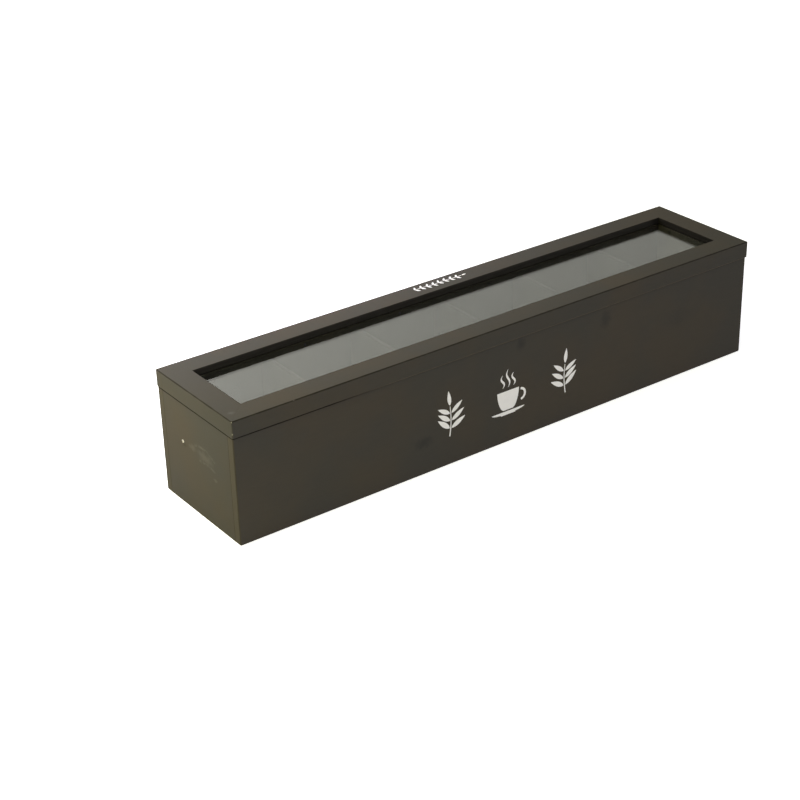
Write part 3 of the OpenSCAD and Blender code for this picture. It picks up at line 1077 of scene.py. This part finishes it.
@dataclass
class Window:
    """The glass, the four beads that hold it up against the lip, and the brads that pin them."""

    glass: Material
    bead_paint: Material
    steel: Material
    arris: float = 0.3 * MM
    bead_ease: float = 0.35 * MM
    brad_radius: float = 0.6 * MM
    brad_head: float = 1.0 * MM
    brad_length: float = 9 * MM
    brad_dome: float = 0.25 * MM
    long_brads: int = 6
    short_brads: int = 2
    end_margin: float = 12 * MM
    runs: tuple[tuple[str, str, str], ...] = (
        ("Short Run", "Half Length", "Short Count"),
        ("Long Run", "Half Depth", "Long Count"),
    )

    def build(self) -> None:
        """Makes and hands over the glass, the beads and the brads."""
        pane = eased_board("window_glass", Span.of("glass_pane"), lambda way: self.arris, self.glass)
        hand_over(smooth(pane), Body.LID, Finish.GLASS, "glass_pane")
        for side in Side:
            node = f"bead_{side.label()}"
            bead = eased_board(f"glazing_{node}", Span.of(node), lambda way: self.bead_ease, self.bead_paint)
            hand_over(smooth(bead), Body.LID, Finish.INNER, node)
        self._brads()

    def _brads(self) -> Object:
        """Repeats one brad along the inner faces of the beads."""
        brad = self._one_brad()
        tree = self._brad_tree()
        inner = Span(
            Vector((Span.of("bead_left").high.x, Span.of("bead_front").high.y, 0)),
            Vector((Span.of("bead_right").low.x, Span.of("bead_rear").low.y, 0)),
        )
        settings = {
            "Brad": brad,
            "Middle": (inner.middle.x, inner.middle.y, Span.of("bead_front").middle.z),
            "Half Length": inner.size.x / 2,
            "Half Depth": inner.size.y / 2,
            "Long Run": Span.of("bead_front").size.x / 2 - self.end_margin,
            "Short Run": Span.of("bead_left").size.y / 2 - self.end_margin,
            "Long Count": self.long_brads,
            "Short Count": self.short_brads,
            "Material": self.steel,
        }
        brads = grow("glazing_brads", tree, settings)
        bpy.data.objects.remove(brad)
        return hand_over(smooth(brads, 50), Body.LID, Finish.STEEL, "bead_brads")

    def _one_brad(self) -> Object:
        """A brad that points along +X, with its domed head at the origin."""
        head = arc((0.1 * MM, 0), self.brad_head, 90, 180, 4)
        dome = [(x / self.brad_head * self.brad_dome, r) for x, r in head]
        shank = [(0.5 * MM, self.brad_head), (0.5 * MM, self.brad_radius)]
        point = [(self.brad_length - 1 * MM, self.brad_radius), (self.brad_length, 0.0)]
        return turned("one_brad", [*reversed(dome), *shank, *point], 16)

    def _brad_tree(self) -> NodeTree:
        """A line of brads on each of the four sides, each turned to point outwards."""
        lengths = ("Half Length", "Half Depth", "Long Run", "Short Run")
        inputs = {"Brad": "NodeSocketObject", "Middle": "NodeSocketVector"}
        inputs.update({name: "NodeSocketFloat" for name in lengths})
        inputs.update({"Long Count": "NodeSocketInt", "Short Count": "NodeSocketInt"})
        graph, given, end_with = geometry_tree("brads_round_the_beads", inputs)
        brad = graph.node("GeometryNodeObjectInfo", {"Object": given["Brad"]}).outputs["Geometry"]
        joined = graph.node("GeometryNodeJoinGeometry")
        for side in Side:
            run, away, count = self.runs[side.is_long]
            centre = graph.vector("ADD", given["Middle"], graph.scaled(side.outward, given[away]))
            along = graph.scaled(side.along, given[run])
            first, last = graph.vector("SUBTRACT", centre, along), graph.vector("ADD", centre, along)
            ends = {"Count": given[count], "Start Location": first, "Offset": last}
            points = graph.out("GeometryNodeMeshLine", ends, mode="END_POINTS")
            turn = (0.0, 0.0, math.atan2(side.value[1], side.value[0]))
            row = {"Points": points, "Instance": brad, "Rotation": turn}
            graph.feed(joined.inputs[0], graph.out("GeometryNodeInstanceOnPoints", row))
        return end_with(joined.outputs[0])


def turned(name: str, outline: Sequence[Point], sides: int) -> Object:
    """A closed shape turned round the X axis, from pairs of a place along X and a radius."""
    shape = bmesh.new()
    verts = [shape.verts.new((x, radius, 0)) for x, radius in outline]
    edges = [shape.edges.new(pair) for pair in zip(verts, verts[1:])]
    bmesh.ops.spin(
        shape, geom=[*verts, *edges], cent=(0, 0, 0), axis=(1, 0, 0), angle=math.tau, steps=sides,
        use_merge=True, use_duplicate=False,
    )
    return from_bmesh(name, shape)


@dataclass
class ButtHinges:
    """Two small butt hinges: a leaf on each body, a headed pin and slotted countersunk screws."""

    brass: Material
    line: HingeLine
    burr: float = 0.08 * MM
    screw_spacing: float = 16 * MM
    shank: float = 0.65 * MM
    head: float = 1.1 * MM
    screw_length: float = 7 * MM
    slot_width: float = 0.4 * MM
    slot_depth: float = 0.3 * MM
    pitch: float = 0.7 * MM
    turn_seed: int = 7

    def build(self) -> None:
        """Makes and hands over the leaves, the pins and the screws."""
        for name in self.line.pins:
            for part, body in (("box_leaf", Body.BOX), ("lid_leaf", Body.LID), ("pin", Body.BOX)):
                node = f"hinge_{name}_{part}"
                hand_over(self._polished(node), body, Finish.BRASS, node)
        screw = self._one_screw()
        tree = self._screw_tree()
        for body in Body:
            self._screws(body, screw, tree)
        bpy.data.objects.remove(screw)

    def _polished(self, node: str) -> Object:
        """A copy of a stamped part with its edges broken and its knuckles smooth."""
        shape = bmesh.new()
        shape.from_mesh(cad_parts[node].data)
        bmesh.ops.remove_doubles(shape, verts=shape.verts, dist=0.001 * MM)
        flat = math.radians(1.0)
        bmesh.ops.dissolve_limit(shape, angle_limit=flat, verts=shape.verts, edges=shape.edges)
        piece = from_bmesh(node + "_polished", shape, self.brass)
        bevel = piece.modifiers.new("burr", "BEVEL")
        bevel.width = self.burr
        bevel.segments = 2
        bevel.limit_method = "ANGLE"
        bevel.angle_limit = math.radians(40)
        return smooth(settle(piece))

    def _one_screw(self) -> Object:
        """A slotted countersunk screw that points along +X, with its face at the origin."""
        cone = self.head - self.shank
        outline = [(0.0, 0.0), (0.0, self.head), (0.05 * MM, self.head), (cone, self.shank)]
        x, turns = cone + self.pitch, int((self.screw_length - cone) / self.pitch) - 1
        for _ in range(turns):
            outline += [(x, self.shank), (x + self.pitch / 2, 0.78 * self.shank)]
            x += self.pitch
        outline.append((self.screw_length, 0.0))
        screw = turned("one_screw", outline, 20)
        reach, half = 2 * MM, self.slot_width / 2
        slot = Span(Vector((-1 * MM, -reach, -half)), Vector((self.slot_depth, reach, half)))
        return carve(screw, [block(slot)])

    def _screws(self, body: Body, screw: Object, tree: NodeTree) -> Object:
        """The screws of both leaves on one body."""
        node = f"hinge_{body.value}_screws"
        span = Span.of(node)
        left, right = (self.line.pins[name].middle.x for name in ("left", "right"))
        into = -1 if body is Body.BOX else 1
        settings = {
            "Screw": screw,
            "First": (left, span.middle.y, self.line.axis.z + into * self.line.leaf_gap / 2),
            "Hinge Distance": right - left,
            "Screw Spacing": self.screw_spacing,
            "Into": (0.0, -into * math.pi / 2, 0.0),
            "Seed": self.turn_seed + into,
            "Material": self.brass,
        }
        return hand_over(smooth(grow(node + "_slotted", tree, settings)), body, Finish.BRASS, node)

    def _screw_tree(self) -> NodeTree:
        """Two screws a hinge and two hinges, each screw stopped at an angle of its own."""
        inputs = {
            "Screw": "NodeSocketObject",
            "First": "NodeSocketVector",
            "Hinge Distance": "NodeSocketFloat",
            "Screw Spacing": "NodeSocketFloat",
            "Into": "NodeSocketVector",
            "Seed": "NodeSocketInt",
        }
        graph, given, end_with = geometry_tree("hinge_screws", inputs)
        screw = graph.node("GeometryNodeObjectInfo", {"Object": given["Screw"]}).outputs["Geometry"]
        half = graph.times(given["Screw Spacing"], 0.5)
        first = graph.vector("SUBTRACT", given["First"], graph.xyz(x=half))
        index = graph.out("GeometryNodeInputIndex")
        hinge = graph.math("FLOOR", graph.math("DIVIDE", index, 2.0))
        within = graph.times(graph.math("MODULO", index, 2.0), given["Screw Spacing"])
        along = graph.line(hinge, given["Hinge Distance"], within)
        spread = graph.vector("ADD", first, graph.xyz(x=along))
        places = graph.out("GeometryNodePoints", {"Count": 4})
        placed = graph.out("GeometryNodeSetPosition", {"Geometry": places, "Position": spread})
        stops = {"Min": 0.0, "Max": math.pi, "Seed": given["Seed"]}
        stop = graph.node("FunctionNodeRandomValue", stops, data_type="FLOAT")
        angle = next(socket for socket in stop.outputs if socket.enabled)
        into = graph.out("FunctionNodeEulerToRotation", {0: given["Into"]})
        own = graph.out("FunctionNodeEulerToRotation", {0: graph.xyz(x=angle)})
        turn = graph.out("FunctionNodeRotateRotation", {0: into, 1: own}, rotation_space="LOCAL")
        rows = {"Points": placed, "Instance": screw, "Rotation": turn}
        return end_with(graph.out("GeometryNodeInstanceOnPoints", rows))


@dataclass(frozen=True)
class Leaf:
    """The outline of one printed leaf, which stands clear of its stem as in a stencil."""

    length: float
    width: float
    clear: float
    steps: int = 10

    def outline(self) -> list[Point]:
        """Points round the leaf, from its foot up one side and down the other."""
        up = [self._edge(step / self.steps) for step in range(self.steps + 1)]
        down = [(-x, y) for x, y in reversed(up[1:-1])]
        return up + down

    def _edge(self, share: float) -> Point:
        """A point of the right edge, at a share of the leaf's length."""
        bulge = math.sin(math.pi * share**0.8) ** 0.9 if 0 < share < 1 else 0.0
        return self.width / 2 * bulge, self.clear + self.length * share


@dataclass
class Ornaments:
    """Generic prints in cream: two leafy sprigs and a cup on the front, and a garland on the lid."""

    ink: Material
    thickness: float = 0.03 * MM
    foot_z: float = 21 * MM
    height: float = 33.4 * MM
    sprig_x: tuple[float, float] = (-53 * MM, 46 * MM)
    cup_x: float = -4 * MM
    garland_x: tuple[float, float] = (-20.4 * MM, 25.9 * MM)
    garland_y: float = 37.6 * MM
    stem_width: float = 0.9 * MM

    def build(self, front_y: float, lid_top: float) -> None:
        """Makes and hands over the prints.

        Args:
            front_y: Where the face of the front wall lies.
            lid_top: Where the printed face of the lid's rear rail lies.
        """
        on_front = Matrix.Translation((0, front_y, self.foot_z)) @ Matrix.Rotation(math.pi / 2, 4, "X")
        tree = self._leaf_tree()
        for name, x, bow in (("left", self.sprig_x[0], 1), ("right", self.sprig_x[1], -1)):
            place = Matrix.Translation((x, 0, 0)) @ on_front
            self._sprig(f"front_print_{name}_sprig", tree, place, bow)
        self._cup("front_print_cup", Matrix.Translation((self.cup_x, 0, 0)) @ on_front)
        on_lid = Matrix.Translation((self.garland_x[0], self.garland_y, lid_top))
        self._garland("lid_print_garland", tree, on_lid)

    def _sprig(self, name: str, tree: NodeTree, place: Matrix, bow: int) -> Object:
        """A bowed stem with pairs of leaves and one at its tip."""
        leaf = Leaf(13.5 * MM, 3.8 * MM, 0.9 * MM)
        stem_top = self.height - leaf.length * 0.8 - leaf.clear
        stem = bowed_line((0, 0), (0.6 * MM * bow, stem_top), 0.9 * MM * bow, 14)
        shape = bmesh.new()
        plate(shape, stroke(stem, self.stem_width, 0.55), self.thickness)
        settings = {"Count": 5, "Skip": 1, "Splay": 0.98, "Foot Size": 1.0, "Tip Size": 0.78}
        settings["Tip Leaf"] = 0.8
        return self._leafy(name, tree, place, leaf, stem, shape, settings)

    def _garland(self, name: str, tree: NodeTree, place: Matrix) -> Object:
        """A level vine with leaves on both sides and a berry after every pair."""
        run = self.garland_x[1] - self.garland_x[0]
        leaf = Leaf(3.7 * MM, 1.5 * MM, 0.45 * MM)
        vine = [(run * (0.045 + 0.86 * i / 20), 0.35 * MM * math.sin(i * 0.62)) for i in range(21)]
        shape = bmesh.new()
        plate(shape, stroke(vine, 0.45 * MM, 1.0), self.thickness)
        settings = {"Count": 9, "Skip": 0, "Splay": 0.95, "Foot Size": 1.0, "Tip Size": 1.0}
        settings["Tip Leaf"] = 1.0
        return self._leafy(name, tree, place, leaf, vine, shape, settings)

    def _leafy(
        self,
        name: str,
        tree: NodeTree,
        place: Matrix,
        leaf: Leaf,
        path: list[Point],
        shape: bmesh.types.BMesh,
        settings: dict[str, object],
    ) -> Object:
        """Puts leaves along a path beside the stem that is already drawn.

        Args:
            name: The piece's name.
            tree: The leaf tree.
            place: Turns and moves the flat drawing to its place.
            leaf: The leaf.
            path: The stem's middle line.
            shape: The stem.
            settings: Values for the tree's plain inputs.

        Returns:
            The print.
        """
        leaf_shape = bmesh.new()
        plate(leaf_shape, leaf.outline(), self.thickness)
        one_leaf = from_bmesh("one_leaf", leaf_shape)
        line = bpy.data.curves.new("stem_line", "CURVE")
        line.dimensions = "3D"
        spline = line.splines.new("POLY")
        spline.points.add(len(path) - 1)
        for point, (x, y) in zip(spline.points, path):
            point.co = (x, y, 0.0, 1.0)
        stem = bpy.data.objects.new("stem_line", line)
        bpy.context.scene.collection.objects.link(stem)
        leaves = grow(name, tree, {"Leaf": one_leaf, "Stem": stem, "Material": self.ink, **settings})
        shape.from_mesh(leaves.data)
        for made in (leaves, one_leaf, stem):
            bpy.data.objects.remove(made)
        return self._finished(name, shape, place)

    def _finished(self, name: str, shape: bmesh.types.BMesh, place: Matrix) -> Object:
        """Moves a flat drawing to its place and hands it over."""
        bmesh.ops.transform(shape, matrix=place, verts=shape.verts)
        piece = from_bmesh(name, shape, self.ink)
        body = Body.LID if name.startswith("lid") else Body.BOX
        return hand_over(piece, body, None)

    def _leaf_tree(self) -> NodeTree:
        """Leaves in pairs along a stem, splayed to both sides, and one more at its tip."""
        inputs = {"Leaf": "NodeSocketObject", "Stem": "NodeSocketObject", "Count": "NodeSocketInt"}
        inputs.update({name: "NodeSocketFloat" for name in ("Splay", "Foot Size", "Tip Size", "Tip Leaf")})
        inputs["Skip"] = "NodeSocketInt"
        graph, given, end_with = geometry_tree("leaves_along_a_stem", inputs)
        leaf = graph.node("GeometryNodeObjectInfo", {"Object": given["Leaf"]}).outputs["Geometry"]
        stem = graph.node("GeometryNodeObjectInfo", {"Object": given["Stem"]}).outputs["Geometry"]
        points = graph.node("GeometryNodeCurveToPoints", {"Curve": stem, "Count": given["Count"]})
        across, upward, _ = graph.split(points.outputs["Tangent"])
        heading = graph.minus(graph.math("ARCTAN2", upward, across), math.pi / 2)
        index = graph.node("GeometryNodeInputIndex").outputs[0]
        last = graph.minus(given["Count"], 1.0)
        at_tip = graph.math("COMPARE", index, last, 0.5)
        past_foot = graph.math("GREATER_THAN", index, graph.minus(given["Skip"], 0.5))
        in_pairs = graph.times(past_foot, graph.minus(1.0, at_tip))
        share = graph.math("DIVIDE", index, last)
        wide = graph.minus(given["Tip Size"], given["Foot Size"])
        size = graph.line(share, wide, given["Foot Size"])
        joined = graph.node("GeometryNodeJoinGeometry")
        pairs, tip = (in_pairs, size), (at_tip, given["Tip Leaf"])
        for way, (chosen, scale) in ((-1.0, pairs), (1.0, pairs), (0.0, tip)):
            leaves = {
                "Points": points.outputs["Points"],
                "Selection": chosen,
                "Instance": leaf,
                "Rotation": graph.xyz(z=graph.line(given["Splay"], way, heading)),
                "Scale": graph.xyz(scale, scale, 1.0),
            }
            graph.feed(joined.inputs[0], graph.out("GeometryNodeInstanceOnPoints", leaves))
        return end_with(joined.outputs[0])

    def _cup(self, name: str, place: Matrix) -> Object:
        """A cup with a handle on a saucer, and three wisps of steam."""
        shape = bmesh.new()
        for outline in (self._saucer(), self._bowl(), *self._steam()):
            plate(shape, outline, self.thickness)
        self._handle(shape)
        return self._finished(name, shape, place)

    def _saucer(self) -> list[Point]:
        """A shallow dish seen from the side."""
        half, rim, foot = 14 * MM, 2.6 * MM, 6 * MM
        dish = [(half * math.cos(a), rim - 2.2 * MM * math.sin(a)) for a in steps_between(0, math.pi, 20)]
        base = [(-foot, 0.0), (foot, 0.0)]
        left = [point for point in dish if point[0] < -foot]
        right = [point for point in dish if point[0] > foot]
        return [*right, base[1], base[0], *left]

    def _bowl(self) -> list[Point]:
        """The cup's body, wide at the rim and round at the foot."""
        rim, foot, low, high = 9.2 * MM, 4.2 * MM, 3.6 * MM, 17.6 * MM
        right = []
        for share in steps_between(0, 1, 12):
            wide = foot + (rim - foot) * math.sin(share * math.pi / 2) ** 0.62
            right.append((wide, low + (high - low) * share))
        left = [(-x, y) for x, y in reversed(right)]
        return [*right, *left]

    def _handle(self, shape: bmesh.types.BMesh) -> None:
        """An ear on the right of the cup, as a thick open ring."""
        middle, radius = (10.4 * MM, 11.8 * MM), 4.0 * MM
        start, end = math.degrees(-1.42), math.degrees(1.5)
        ring = arc(middle, radius, start, end, 16)
        plate(shape, stroke(ring, 1.7 * MM, 1.0), self.thickness)

    def _steam(self) -> list[list[Point]]:
        """Three wavy wisps above the cup, thin at both ends."""
        found = []
        apart, sway, outer, middle = 4.6 * MM, 1.3 * MM, (20.4 * MM, 9.5 * MM), (20.0 * MM, 13.2 * MM)
        for x, (low, tall) in ((-apart, outer), (0.0, middle), (apart, outer)):
            line = [(x + sway * math.sin(math.tau * s), low + tall * s) for s in steps_between(0, 1, 18)]
            found.append(stroke(line, 1.5 * MM, 0.0, tapered=True))
        return found


def steps_between(start: float, end: float, count: int) -> list[float]:
    """Evenly spread numbers from start to end, both included."""
    return [start + (end - start) * i / count for i in range(count + 1)]


def bowed_line(start: Point, end: Point, bow: float, count: int) -> list[Point]:
    """Points of a line that bows sideways between two points."""
    found = []
    for share in steps_between(0, 1, count):
        x = start[0] + (end[0] - start[0]) * share + bow * math.sin(math.pi * share)
        found.append((x, start[1] + (end[1] - start[1]) * share))
    return found


def stroke(line: Sequence[Point], width: float, end_width: float, tapered: bool = False) -> list[Point]:
    """The outline of a pen stroke.

    Args:
        line: The middle line.
        width: The stroke's full width at its start, or at its middle if it is tapered.
        end_width: The share of the width that is left at the end.
        tapered: Whether the stroke thins out towards both ends.

    Returns:
        Points round the stroke.
    """
    left, right = [], []
    for i, (x, y) in enumerate(line):
        before, after = line[max(i - 1, 0)], line[min(i + 1, len(line) - 1)]
        way = Vector((after[0] - before[0], after[1] - before[1])).normalized()
        share = i / (len(line) - 1)
        thin = 0.12 + 0.88 * math.sin(math.pi * share) if tapered else 1 + (end_width - 1) * share
        half = width / 2 * thin
        left.append((x - way.y * half, y + way.x * half))
        right.append((x + way.y * half, y - way.x * half))
    return [*right, *reversed(left)]


def plate(shape: bmesh.types.BMesh, outline: Sequence[Point], thickness: float) -> None:
    """Adds a thin closed plate with the given outline, standing on the XY plane."""
    low = [shape.verts.new((x, y, 0.0)) for x, y in outline]
    high = [shape.verts.new((x, y, thickness)) for x, y in outline]
    shape.faces.new(list(reversed(low)))
    shape.faces.new(high)
    for i in range(len(outline)):
        shape.faces.new((low[i - 1], low[i], high[i], high[i - 1]))


@dataclass(frozen=True)
class Lamp:
    """A soft rectangular lamp aimed at a point. Gloss and glass show the world's gradient in its stead."""

    name: str
    place: tuple[float, float, float]
    aim: tuple[float, float, float]
    size: Point
    watts: float
    colour: tuple[float, float, float] = (1.0, 1.0, 1.0)

    def build(self) -> Object:
        """Adds the lamp to the scene."""
        light = bpy.data.lights.new(self.name, "AREA")
        light.shape = "RECTANGLE"
        light.size, light.size_y = self.size
        light.energy = self.watts
        light.color = self.colour
        lamp = bpy.data.objects.new(self.name, light)
        lamp.location = self.place
        lamp.rotation_mode = "QUATERNION"
        lamp.rotation_quaternion = (Vector(self.aim) - Vector(self.place)).to_track_quat("-Z", "Y")
        lamp.visible_camera = lamp.visible_glossy = lamp.visible_transmission = False
        bpy.context.scene.collection.objects.link(lamp)
        return lamp


@dataclass
class Studio:
    """A pale floor, a plain world, soft lamps and the camera at the photograph's angle."""

    camera_place: tuple[float, float, float] = (-676.66 * MM, -863.94 * MM, 585.87 * MM)
    heading: float = math.radians(35.51)
    pitch: float = math.radians(-27.56)
    roll: float = math.radians(-1.665)
    lens: float = 81.10
    sensor: float = 36.0
    fill_level: float = 0.36
    lamps: tuple[Lamp, ...] = (
        Lamp("rear_strip", (-0.15, 0.18, 0.20), (-0.15, 0.0, 0.08), (0.50, 0.06), 1.24, (0.76, 0.74, 0.97)),
        Lamp("rear_strip_end", (0.22, 0.18, 0.20), (0.22, 0.0, 0.08), (0.24, 0.06), 0.05, (1.0, 0.97, 0.95)),
        Lamp("window_light", (-0.90, -0.10, 0.70), (-0.10, 0.0, 0.05), (0.50, 0.50), 6.5, (1.0, 0.99, 0.50)),
        Lamp("left_strip", (-0.31, 0.05, 0.13), (-0.215, 0.02, 0.07), (0.16, 0.04), 0.11, (1.0, 0.96, 0.74)),
        Lamp("front_card", (0.0, -1.50, 0.35), (0.0, 0.0, 0.04), (1.40, 0.90), 9.0, (0.85, 0.83, 1.0)),
        Lamp("right_card", (1.30, 0.10, 0.09), (0.2, 0.0, 0.04), (0.60, 0.14), 3.0, (1.0, 0.99, 0.97)),
        Lamp("rear_card", (0.0, 1.40, 0.09), (0.0, 0.0, 0.04), (1.20, 0.14), 5.0, (1.0, 0.98, 0.97)),
    )
    gloss_axis: tuple[float, float, float] = (0.836, -0.459, -0.295)
    gloss_fall: float = -4.75
    gloss_level: float = 0.9
    gloss_peak: float = 2.4
    gloss_colour: Colour = (1.0, 0.995, 0.90, 1.0)
    floor_level: float = 0.62
    floor_shown: float = 0.95
    floor_glow: float = 0.64

    def build(self) -> None:
        """Makes the camera, the world, the lamps and the floor."""
        bpy.context.scene.view_settings.view_transform = "Standard"
        self._camera()
        self._world()
        for lamp in self.lamps:
            lamp.build()
        self._floor()

    def _camera(self) -> None:
        """Places the camera from its heading (from +Y towards +X), pitch and roll."""
        data = bpy.data.cameras.new("camera")
        data.lens = self.lens
        data.sensor_width = self.sensor
        data.clip_start = 0.01
        camera = bpy.data.objects.new("camera", data)
        level = Vector((math.cos(self.heading), -math.sin(self.heading), 0))
        flat = Vector((math.sin(self.heading), math.cos(self.heading), 0))
        forward = flat * math.cos(self.pitch) + Vector((0, 0, math.sin(self.pitch)))
        right = level * math.cos(self.roll) + level.cross(forward) * math.sin(self.roll)
        upward = right.cross(forward)
        turn = Matrix((right, upward, -forward)).transposed()
        camera.matrix_world = Matrix.Translation(self.camera_place) @ turn.to_4x4()
        bpy.context.scene.collection.objects.link(camera)
        bpy.context.scene.camera = camera

    def _world(self) -> None:
        """A white background, a plain level of light and a soft gradient for what the gloss reflects."""
        world = bpy.data.worlds.new("studio")
        world.use_nodes = True
        bpy.context.scene.world = world
        graph = Graph(world.node_tree)
        rays = graph.node("ShaderNodeLightPath").outputs
        way = graph.node("ShaderNodeTexCoord").outputs["Generated"]
        across = graph.vector("DOT_PRODUCT", way, self.gloss_axis)
        fall = graph.math("EXPONENT", graph.times(across, self.gloss_fall))
        gradient = graph.lowest(graph.times(fall, self.gloss_level), self.gloss_peak)
        seen = graph.math("ADD", rays["Is Camera Ray"], rays["Is Transmission Ray"], clamp=True)
        glossy = rays["Is Glossy Ray"]
        level = graph.out("ShaderNodeMix", {0: glossy, 2: self.fill_level, 3: gradient})
        strength = graph.out("ShaderNodeMix", {0: seen, 2: level, 3: 1.0})
        tint = graph.mix(glossy, (1.0, 1.0, 1.0, 1.0), self.gloss_colour)
        background = graph.tree.nodes["Background"]
        graph.feed(background.inputs["Color"], tint)
        graph.feed(background.inputs["Strength"], strength)

    def _floor(self) -> None:
        """A wide pale floor that keeps the box's shadow and looks white elsewhere."""
        graph, shader = surface("pale_floor")
        seen = graph.node("ShaderNodeLightPath").outputs["Is Camera Ray"]
        level = graph.out("ShaderNodeMix", {0: seen, 2: self.floor_level, 3: self.floor_shown})
        grey = graph.out("ShaderNodeCombineColor", dict.fromkeys(("Red", "Green", "Blue"), level))
        graph.feed(shader.inputs["Base Color"], grey)
        shader.inputs["Roughness"].default_value = 1.0
        shader.inputs["Specular IOR Level"].default_value = 0.0
        shader.inputs["Emission Color"].default_value = (1.0, 1.0, 1.0, 1.0)
        graph.feed(shader.inputs["Emission Strength"], graph.times(seen, self.floor_glow))
        reach, drop = 6.0, 0.05 * MM
        shape = bmesh.new()
        bmesh.ops.create_grid(shape, x_segments=1, y_segments=1, size=reach)
        bmesh.ops.translate(shape, vec=(0, 0, -drop), verts=shape.verts)
        from_bmesh("floor", shape, bpy.data.materials["pale_floor"])


def box_marks(walls: Span) -> tuple[Smudge | Chip | Scuff, ...]:
    """The marks of use on the walls, placed from their outer faces."""
    left, front = walls.low.x, walls.low.y
    dark = hex_colour("#2f3230")
    rub = hex_colour("#68645a")
    return (
        Smudge((-74 * MM, front, 23 * MM), (11 * MM, 6 * MM, 6 * MM), dark, 0.4, 0.03),
        Smudge((7 * MM, front, 69 * MM), (6 * MM, 6 * MM, 7 * MM), dark, 0.4, 0.03),
        Smudge((81 * MM, front, 65 * MM), (7 * MM, 6 * MM, 11 * MM), dark, 0.35, 0.02),
        Smudge((150 * MM, front, 46 * MM), (18 * MM, 6 * MM, 12 * MM), dark, 0.12, 0.02),
        Smudge((left, -9 * MM, 46 * MM), (6 * MM, 13 * MM, 5.5 * MM), rub, 0.3, -0.05),
        Smudge((left, 6 * MM, 47 * MM), (6 * MM, 7 * MM, 3.5 * MM), rub, 0.28, -0.05),
        Smudge((left, -20 * MM, 35 * MM), (6 * MM, 4 * MM, 2 * MM), rub, 0.3, -0.05),
        Smudge((left, 15.5 * MM, 45 * MM), (6 * MM, 4 * MM, 3 * MM), hex_colour("#3a382e"), 0.4, 0.05),
        Chip((left, 17.8 * MM, 46.8 * MM), (2 * MM, 1.9 * MM, 1.2 * MM), hex_colour("#bab4a6")),
        Scuff(left, (-6.3 * MM, 19.3 * MM), 32.2 * MM, (-24 * MM, 5 * MM), 1.3 * MM, rub, 0.35),
        Scuff(left, (-8 * MM, -60 * MM), 101.5 * MM, (-22 * MM, 2 * MM), 1.3 * MM, rub, 0.3),
    )


def lid_marks(lid: Span) -> tuple[Chip | Smudge, ...]:
    """The small knocks on the lid, near its front left corner."""
    left, front, top, low = lid.low.x, lid.low.y, lid.high.z, lid.low.z
    bare = hex_colour("#979182")
    return (
        Chip((left, front, top - 0.6 * MM), (0.8 * MM, 0.8 * MM, 0.7 * MM), bare),
        Chip((left, front, low + 3.4 * MM), (0.7 * MM, 0.7 * MM, 0.8 * MM), bare),
        Chip((-170.7 * MM, front, top), (1.0 * MM, 0.5 * MM, 0.4 * MM), hex_colour("#7c776c")),
        Smudge((-209 * MM, -35.6 * MM, top), (3 * MM, 3 * MM, 2 * MM), hex_colour("#63625e"), 0.32),
    )


def main() -> None:
    """Builds the studio and then the box, one sub-assembly at a time."""
    logging.basicConfig(level=logging.INFO, format="%(message)s")
    Studio().build()
    walls = Span.of("front_wall", "rear_wall", "left_end", "right_end")
    inside = Span(
        Vector((Span.of("left_end").high.x, Span.of("front_wall").high.y, 0)),
        Vector((Span.of("right_end").low.x, Span.of("rear_wall").low.y, walls.high.z)),
    )
    # The second colour is the painted shade along the eased edges.
    paint, edge = hex_colour("#48443c"), hex_colour("#211e19")
    # The box paint carries painted shade on its edges and a painted shadow and highlight along the seam.
    box_paint = PaintedWood(
        "box_paint", paint, edge, walls, inside, edge_shade_strength=0.3, seam_z=walls.high.z,
        end_grain=tinted(paint, 1.04, 1.03, 0.98), marks=box_marks(walls),
    ).build()
    # The inside paint is a darker copy of the box paint: painted shade for the inside of the box.
    inner_paint = PaintedWood(
        "inside_paint", hex_colour("#2b2925"), edge, inside, inside, edge_shade_strength=0.0, brush_length=5.0
    ).build()
    hinges = HingeLine()
    Carcass(box_paint, inner_paint, hinges).build()
    DividerRow(inner_paint).build()
    lid = LidFrame(hinges)
    lid_paint = PaintedWood(
        "lid_paint", paint, edge, lid.outline, lid.window, edge_shade_strength=0.85, mitred=True,
        # Painted shade for the walls of the window.
        recess_shade=hex_colour("#2b2925"), glass_z=lid.seat_z, seam_z=lid.outline.low.z,
        # The lid's seam ends in a paler painted highlight.
        seam_highlight=hex_colour("#585247"), marks=lid_marks(lid.outline),
    ).build()
    lid.build(lid_paint)
    steel = Metal("blued_steel", hex_colour("#47454a"), hex_colour("#2b2925"), 0.48).build()
    # The bead paint is a darker copy of the box paint as well, lighter than the inside: painted shade for the
    # beads under the glass.
    bead_paint = PaintedWood(
        "bead_paint", hex_colour("#3b3831"), edge, inside, inside, edge_shade_strength=0.0, brush_length=5.0
    ).build()
    Window(ClearGlass().build(), bead_paint, steel).build()
    brass = Metal("aged_brass", hex_colour("#94794c"), hex_colour("#57462c"), 0.36).build()
    ButtHinges(brass, hinges).build()
    Ornaments(ScreenPrint().build()).build(walls.low.y, lid.outline.high.z)


if __name__ == "__main__":
    main()
